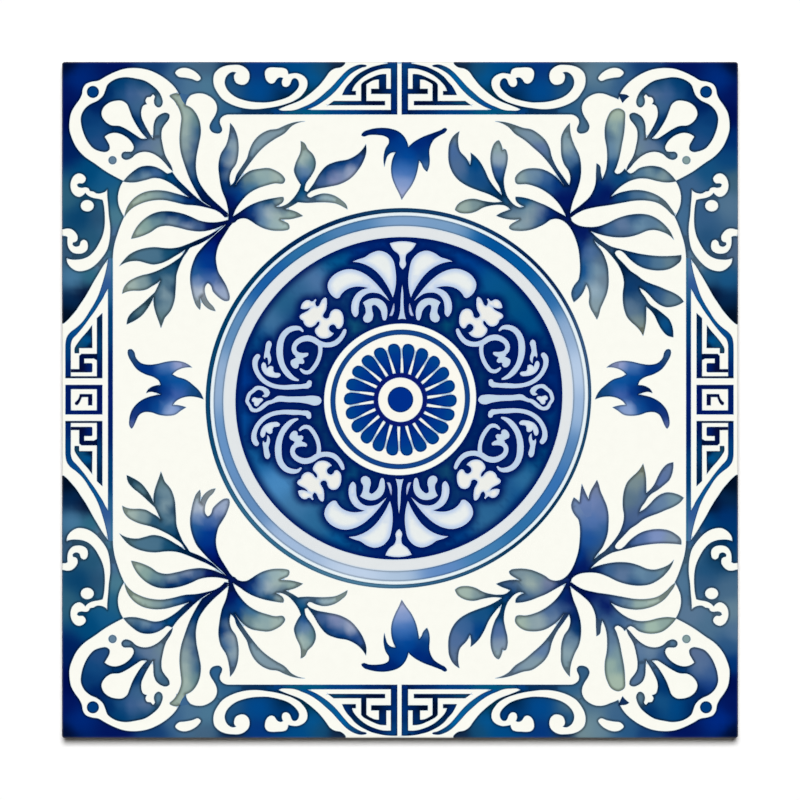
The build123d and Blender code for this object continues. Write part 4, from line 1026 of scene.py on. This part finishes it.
# The glaze: one white coat, 0.8 mm deep down to the body, over the face, the rounded arris and the top of the
# edge. The print was laid on it and sank in as it melted, so it has no relief. The arris and the corners'
# radius are the solid's own.
face_z, side_half = high.z * 1000, (high.x - low.x) * 500
arris, band_corner = 0.4, 0.612
core = side_half - band_corner
flat_corner = band_corner - arris


def beyond(p):
    """How far points lie outside the square core that the corners are rounded about, and which way."""
    away = p - np.clip(p, -core, core)
    far = np.hypot(away[:, 0], away[:, 1])
    return far, away / np.maximum(far, 1e-9)[:, None]


edge_step = 1.2
edge_line = []
for quarter, way in enumerate([(1, 1), (-1, 1), (-1, -1), (1, -1)]):
    turn = np.linspace(0, math.pi / 2, 5) + quarter * math.pi / 2
    edge_line.append(core * np.array(way) + flat_corner * np.column_stack([np.cos(turn), np.sin(turn)]))
edge_line = np.vstack(edge_line)
stretch = []
for a, b in zip(edge_line, np.roll(edge_line, -1, axis=0)):
    share = np.linspace(0, 1, max(1, int(np.hypot(*(b - a)) // edge_step)), endpoint=False)
    stretch.append(a + (b - a) * share[:, None])
edge_line = np.vstack(stretch)

# Every outline becomes edges of the face's mesh. Two rows of points on each side of them carry the tint of
# each mark's rim, and a loose grid carries the washes. Rows and grid are thinned to one point in each cell,
# and keep clear of the outlines.
least_edge, row_step, grid_step = 0.02, 0.55, 1.3
first_row, first_cell, first_clear = 0.28, 0.22, 0.2
second_row, second_cell, second_clear = 0.85, 0.75, 0.6
grid_cell, grid_clear = 0.01, 0.95
turn_row, sharp_below = 0.3, 0.8
points, edges, beside, wider, along = [], [], [], [], []
count = 0
for line in [edge_line] + [mark[0] for mark in marks]:
    ahead = np.roll(line, -1, axis=0) - line
    line = line[np.hypot(ahead[:, 0], ahead[:, 1]) > least_edge]
    ahead = np.roll(line, -1, axis=0) - line
    way = ahead / np.hypot(ahead[:, 0], ahead[:, 1])[:, None]
    side = np.column_stack([-way[:, 1], way[:, 0]])
    counts = np.ceil(np.hypot(ahead[:, 0], ahead[:, 1]) / row_step).astype(int)
    at = np.repeat(np.arange(len(line)), counts)
    part = (np.concatenate([np.arange(n) for n in counts]) + 0.5) / np.repeat(counts, counts)
    spot = line[at] + ahead[at] * part[:, None]
    beside += [spot + first_row * side[at], spot - first_row * side[at]]
    wider += [(spot + second_row * side[at])[::2], (spot - second_row * side[at])[::2]]
    along.append(spot)
    turned = (way * np.roll(way, 1, axis=0)).sum(axis=1) < sharp_below
    corner_side = (side + np.roll(side, 1, axis=0))[turned]
    beside += [line[turned] + turn_row * corner_side, line[turned] - turn_row * corner_side]
    points.append(line)
    edges += [(count + i, count + (i + 1) % len(line)) for i in range(len(line))]
    count += len(line)
points = np.vstack(points)
along = np.vstack([points] + along)
near = kdtree.KDTree(len(along))
for i, p in enumerate(along):
    near.insert((p[0], p[1], 0), i)
near.balance()
across = np.arange(-side_half + 0.9, side_half, grid_step)
loose = np.stack(np.meshgrid(across, across), -1).reshape(-1, 2)
added = []
for group, cell, clear in (
    (np.vstack(beside), first_cell, first_clear),
    (np.vstack(wider), second_cell, second_clear),
    (loose, grid_cell, grid_clear),
):
    group = group[np.abs(group).max(axis=1) < side_half - 0.6]
    group = group[np.unique(np.round(group / cell).astype(int), axis=0, return_index=True)[1]]
    added.append(np.array([p for p in group if near.find((p[0], p[1], 0))[2] > clear]))
points = np.vstack([points] + added)
places, _, triangles, *_ = delaunay_2d_cdt([Vector(p) for p in points.tolist()], edges, [], 0, 1e-5, False)
places = np.array([tuple(p) for p in places])
triangles = np.array(triangles)
centres = places[triangles].mean(axis=1)
far, _ = beyond(centres)
triangles, centres = triangles[far < flat_corner], centres[far < flat_corner]
held, triangles = np.unique(triangles, return_inverse=True)
places, triangles = places[held], triangles.reshape(-1, 3)


def inside(line, spots):
    """Which spots a closed line winds round."""
    order = np.argsort(spots[:, 1])
    x, y = spots[order].T
    turns = np.zeros(len(x), int)
    for (x0, y0), (x1, y1) in zip(line, np.roll(line, -1, axis=0)):
        first, last = np.searchsorted(y, sorted((y0, y1)))
        if last > first:
            meets = x0 + (y[first:last] - y0) * (x1 - x0) / (y1 - y0)
            turns[first:last] += np.where(x[first:last] < meets, 1 if y1 > y0 else -1, 0)
    found = np.zeros(len(x), bool)
    found[order] = turns != 0
    return found


# The topmost mark over each triangle; the ground is mark -1
ink = np.full(len(triangles), -1)
left = np.arange(len(triangles))
for k in range(len(marks) - 1, -1, -1):
    line = marks[k][0]
    c = centres[left]
    boxed = ((c >= line.min(axis=0)) & (c <= line.max(axis=0))).all(axis=1)
    hit = np.zeros(len(left), bool)
    hit[boxed] = inside(line, c[boxed])
    ink[left[hit]] = k
    left = left[~hit]

# How far each corner is from where its mark meets a different one. Two dark washes that meet run together,
# and a white mark is one with the ground.
dark_below, white_above = 140, 248
family = np.append(np.arange(len(marks)), -1)
for k, mark in enumerate(marks):
    if np.mean(mark[2]) < dark_below:
        family[k] = -2
    elif np.mean(mark[2]) > white_above:
        family[k] = -1
pairs = np.vstack([triangles[:, [0, 1]], triangles[:, [1, 2]], triangles[:, [2, 0]]])
owner = np.tile(np.arange(len(triangles)), 3)
key = np.sort(pairs, axis=1)
order = np.lexsort((key[:, 1], key[:, 0]))
same = (key[order][1:] == key[order][:-1]).all(axis=1)
one, other = owner[order[:-1][same]], owner[order[1:][same]]
parted = family[ink[one]] != family[ink[other]]
ends = places[key[order[:-1][same]][parted]]
rims = np.vstack([ends[:, 0] + (ends[:, 1] - ends[:, 0]) * t for t in (0.0, 0.25, 0.5, 0.75, 1.0)])
near = kdtree.KDTree(len(rims))
for i, p in enumerate(rims):
    near.insert((p[0], p[1], 0), i)
near.balance()
reach = np.array([near.find((p[0], p[1], 0))[2] for p in places])


def linear(colour):
    """Colours of 0 to 255 as the light they send back."""
    c = np.array(colour, float) / 255
    return np.where(c <= 0.04045, c / 12.92, ((c + 0.055) / 1.055) ** 2.4)


corner_paint = np.ones((len(triangles), 3, 4))
corner_rim = np.ones((len(triangles), 3, 4))
corner_depth = np.ones((len(triangles), 3))
for k in np.unique(ink):
    mine = ink == k
    used, back = np.unique(triangles[mine], return_inverse=True)
    _, spots, colours, rim, spread = marks[k] if k >= 0 else (None, np.zeros((1, 2)), [IVORY], BLEED, 0.18)
    gaps = np.sort(((spots[:, None] - spots[None]) ** 2).sum(axis=2), axis=1)[:, 1:2]
    soft = 0.25 * (np.median(gaps) if len(spots) > 1 else 1.0)
    weight = 1 / (((places[used][:, None] - spots[None]) ** 2).sum(axis=2) + soft) ** 2
    blend = (weight[:, :, None] * np.array(colours, float)[None]).sum(axis=1) / weight.sum(axis=1)[:, None]
    corner_paint[mine, :, :3] = linear(blend)[back.reshape(-1, 3)]
    edge = linear(np.array(rim) if isinstance(rim, tuple) else blend * (rim or 1.0))
    corner_rim[mine, :, :3] = edge if edge.ndim == 1 else edge[back.reshape(-1, 3)]
    corner_depth[mine] = (reach[used] / spread)[back.reshape(-1, 3)]

# The arris and the top of the edge hang on the face's outline, in the colours that run over it
alone = np.ones(len(order), bool)
alone[:-1][same] = False
alone[1:][same] = False
hems = order[alone]
hem = pairs[hems]
ring = np.unique(hem)
slot_of = {v: i for i, v in enumerate(ring)}
_, outward = beyond(places[ring])
foot = np.clip(places[ring], -core, core)
bends = [math.pi / 8 * i for i in range(5)]
layers = [(flat_corner + arris * math.sin(a), face_z - arris + arris * math.cos(a)) for a in bends[1:]]
layers.append((band_corner, split_z))
verts = [np.column_stack([places, np.full(len(places), face_z)])]
for out, z in layers:
    verts.append(np.column_stack([foot + outward * out, np.full(len(ring), z)]))
verts.append(np.array([[0.0, 0.0, split_z]]))
verts = np.vstack(verts)
start = len(places)
faces = triangles.tolist()
paint, tint, depth = [corner_paint.reshape(-1, 4)], [corner_rim.reshape(-1, 4)], [corner_depth.reshape(-1)]
arc = [arris * a for a in bends] + [arris * bends[-1] + face_z - arris - split_z]
uv_scale, uv_middle = 0.92 / (2 * side_half), 0.485
uv = [(uv_middle + places[triangles] * uv_scale).reshape(-1, 2)]
i, j = np.array([slot_of[a] for a in hem[:, 0]]), np.array([slot_of[b] for b in hem[:, 1]])
tri, spot = hems % len(triangles), hems // len(triangles)
nxt = (spot + 1) % 3
for level in range(len(layers)):
    upper = (lambda v, s: v) if level == 0 else (lambda v, s, base=start + (level - 1) * len(ring): base + s)
    lower = start + level * len(ring)
    faces += np.column_stack([upper(hem[:, 1], j), upper(hem[:, 0], i), lower + i, lower + j]).tolist()
    for store, source in ((paint, corner_paint), (tint, corner_rim), (depth, corner_depth)):
        a, b = source[tri, spot], source[tri, nxt]
        store.append(np.stack([b, a, a, b], axis=1).reshape((-1, 4) if source.ndim == 3 else -1))
    flat_uv = [foot + outward * (flat_corner + arc[level + n]) for n in (0, 1)]
    flat_uv = np.stack([flat_uv[0][j], flat_uv[0][i], flat_uv[1][i], flat_uv[1][j]], axis=1)
    uv.append((uv_middle + flat_uv * uv_scale).reshape(-1, 2))
last = start + (len(layers) - 1) * len(ring)
faces += np.column_stack([last + j, last + i, np.full(len(i), len(verts) - 1)]).tolist()
paint.append(np.tile([*linear(IVORY), 1.0], (3 * len(i), 1)))
tint.append(np.tile([*linear(IVORY), 1.0], (3 * len(i), 1)))
depth.append(np.ones(3 * len(i)))
under = [0.975 + 0.015 * (foot + outward * band_corner) / side_half, np.full((1, 2), 0.975)]
uv.append(np.stack([under[0][j], under[0][i], np.tile(under[1], (len(i), 1))], axis=1).reshape(-1, 2))

mesh = bpy.data.meshes.new("Glaze")
mesh.from_pydata((verts / 1000).tolist(), [], faces)
for name, values in (("Paint", paint), ("Rim", tint)):
    layer = mesh.color_attributes.new(name=name, type="FLOAT_COLOR", domain="CORNER")
    layer.data.foreach_set("color", np.vstack(values).astype(np.float32).ravel())
layer = mesh.attributes.new(name="Depth", type="FLOAT", domain="CORNER")
layer.data.foreach_set("value", np.concatenate(depth).astype(np.float32))
mesh.uv_layers.new(name="OFBake").data.foreach_set("uv", np.vstack(uv).astype(np.float32).ravel())
smooth = np.zeros(len(faces), bool)
smooth[len(triangles):len(triangles) + len(layers) * len(hem)] = True
mesh.polygons.foreach_set("use_smooth", smooth)
glaze = bpy.data.objects.new("Glaze", mesh)
bpy.context.collection.objects.link(glaze)

material = bpy.data.materials.new("Printed glaze")
material.use_nodes = True
nodes, links = material.node_tree.nodes, material.node_tree.links
nodes.clear()
out = nodes.new("ShaderNodeOutputMaterial")
shader = nodes.new("ShaderNodeBsdfPrincipled")
links.new(shader.outputs["BSDF"], out.inputs["Surface"])
shader.inputs["Roughness"].default_value = 0.04
shader.inputs["IOR"].default_value = 1.5
painted = nodes.new("ShaderNodeAttribute")
painted.attribute_name = "Paint"
rimmed = nodes.new("ShaderNodeAttribute")
rimmed.attribute_name = "Rim"
deep = nodes.new("ShaderNodeAttribute")
deep.attribute_name = "Depth"
ease = nodes.new("ShaderNodeMapRange")
ease.interpolation_type = "SMOOTHSTEP"
links.new(deep.outputs["Fac"], ease.inputs["Value"])
wash = nodes.new("ShaderNodeMix")
wash.data_type = "RGBA"
links.new(ease.outputs["Result"], wash.inputs["Factor"])
links.new(rimmed.outputs["Color"], wash.inputs["A"])
links.new(painted.outputs["Color"], wash.inputs["B"])
where = nodes.new("ShaderNodeTexCoord")
cloud = nodes.new("ShaderNodeGroup")
cloud.node_tree = fired
cloud.inputs["Size"].default_value = 450
links.new(where.outputs["Object"], cloud.inputs["Place"])
mottle = nodes.new("ShaderNodeMix")
mottle.data_type = "RGBA"
mottle.blend_type = "MULTIPLY"
mottle.inputs["Factor"].default_value = 1.0
links.new(wash.outputs["Result"], mottle.inputs["A"])
links.new(cloud.outputs["Tint"], mottle.inputs["B"])
links.new(mottle.outputs["Result"], shader.inputs["Base Color"])
ripple = nodes.new("ShaderNodeBump")
ripple.inputs["Strength"].default_value = 0.1
ripple.inputs["Distance"].default_value = 0.00002
links.new(cloud.outputs["Height"], ripple.inputs["Height"])
links.new(ripple.outputs["Normal"], shader.inputs["Normal"])
mesh.materials.append(material)
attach(glaze, "root")
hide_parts("tile")


# The floor, the light and the camera: a white sheet that throws little of its light back on the tile's edge,
# one soft lamp that leans a little towards the top of the picture, and a long lens that looks straight down.
bpy.ops.mesh.primitive_plane_add(size=40, location=(0, 0, 0))
floor = bpy.context.object
floor.name = "Floor"
paper = bpy.data.materials.new("White sheet")
paper.use_nodes = True
sheet = paper.node_tree.nodes["Principled BSDF"]
seen_by = paper.node_tree.nodes.new("ShaderNodeLightPath")
bounce = paper.node_tree.nodes.new("ShaderNodeMix")
bounce.data_type = "RGBA"
bounce.inputs["A"].default_value = (0.22, 0.22, 0.22, 1.0)
bounce.inputs["B"].default_value = (1.0, 1.0, 1.0, 1.0)
paper.node_tree.links.new(seen_by.outputs["Is Camera Ray"], bounce.inputs["Factor"])
paper.node_tree.links.new(bounce.outputs["Result"], sheet.inputs["Base Color"])
sheet.inputs["Roughness"].default_value = 1.0
sheet.inputs["Specular IOR Level"].default_value = 0.0
floor.data.materials.append(paper)

key_share, world_share = 0.96, 0.04
key_lean = math.radians(13.5)
lamp = bpy.data.lights.new("Key", "SUN")
lamp.energy = math.pi * key_share / math.cos(key_lean)
lamp.angle = math.radians(18)
key = bpy.data.objects.new("Key", lamp)
bpy.context.collection.objects.link(key)
key.rotation_euler = (-key_lean, 0, 0)
key.visible_glossy = False

# The room is white to the eye and faint as a light. In the glaze it shows as a bright horizon under a dark
# ceiling.
world = bpy.data.worlds.new("Studio")
bpy.context.scene.world = world
world.use_nodes = True
nodes, links = world.node_tree.nodes, world.node_tree.links
sky = nodes["Background"]
way = nodes.new("ShaderNodeTexCoord")
parts = nodes.new("ShaderNodeSeparateXYZ")
links.new(way.outputs["Generated"], parts.inputs["Vector"])
height = nodes.new("ShaderNodeMapRange")
height.inputs["From Min"].default_value = 0.4
height.inputs["From Max"].default_value = 0.95
height.inputs["To Min"].default_value = 0.9
height.inputs["To Max"].default_value = 0.0
links.new(parts.outputs["Z"], height.inputs["Value"])
eye = nodes.new("ShaderNodeLightPath")
faint = nodes.new("ShaderNodeMix")
links.new(eye.outputs["Is Diffuse Ray"], faint.inputs["Factor"])
links.new(height.outputs["Result"], faint.inputs["A"])
faint.inputs["B"].default_value = world_share
seen = nodes.new("ShaderNodeMix")
links.new(eye.outputs["Is Camera Ray"], seen.inputs["Factor"])
links.new(faint.outputs["Result"], seen.inputs["A"])
seen.inputs["B"].default_value = 1.0
links.new(seen.outputs["Result"], sky.inputs["Strength"])
sky.inputs["Color"].default_value = (1.0, 1.0, 1.0, 1.0)

camera_lens, sensor_width = 500.0, 36.0
frame_width = 0.18034
lens = bpy.data.cameras.new("Camera")
lens.lens = camera_lens
lens.sensor_width = sensor_width
lens.clip_end = 100
camera = bpy.data.objects.new("Camera", lens)
bpy.context.collection.objects.link(camera)
camera.location = (0, 0, high.z + frame_width * camera_lens / sensor_width)
bpy.context.scene.camera = camera
bpy.context.scene.view_settings.view_transform = "Standard"
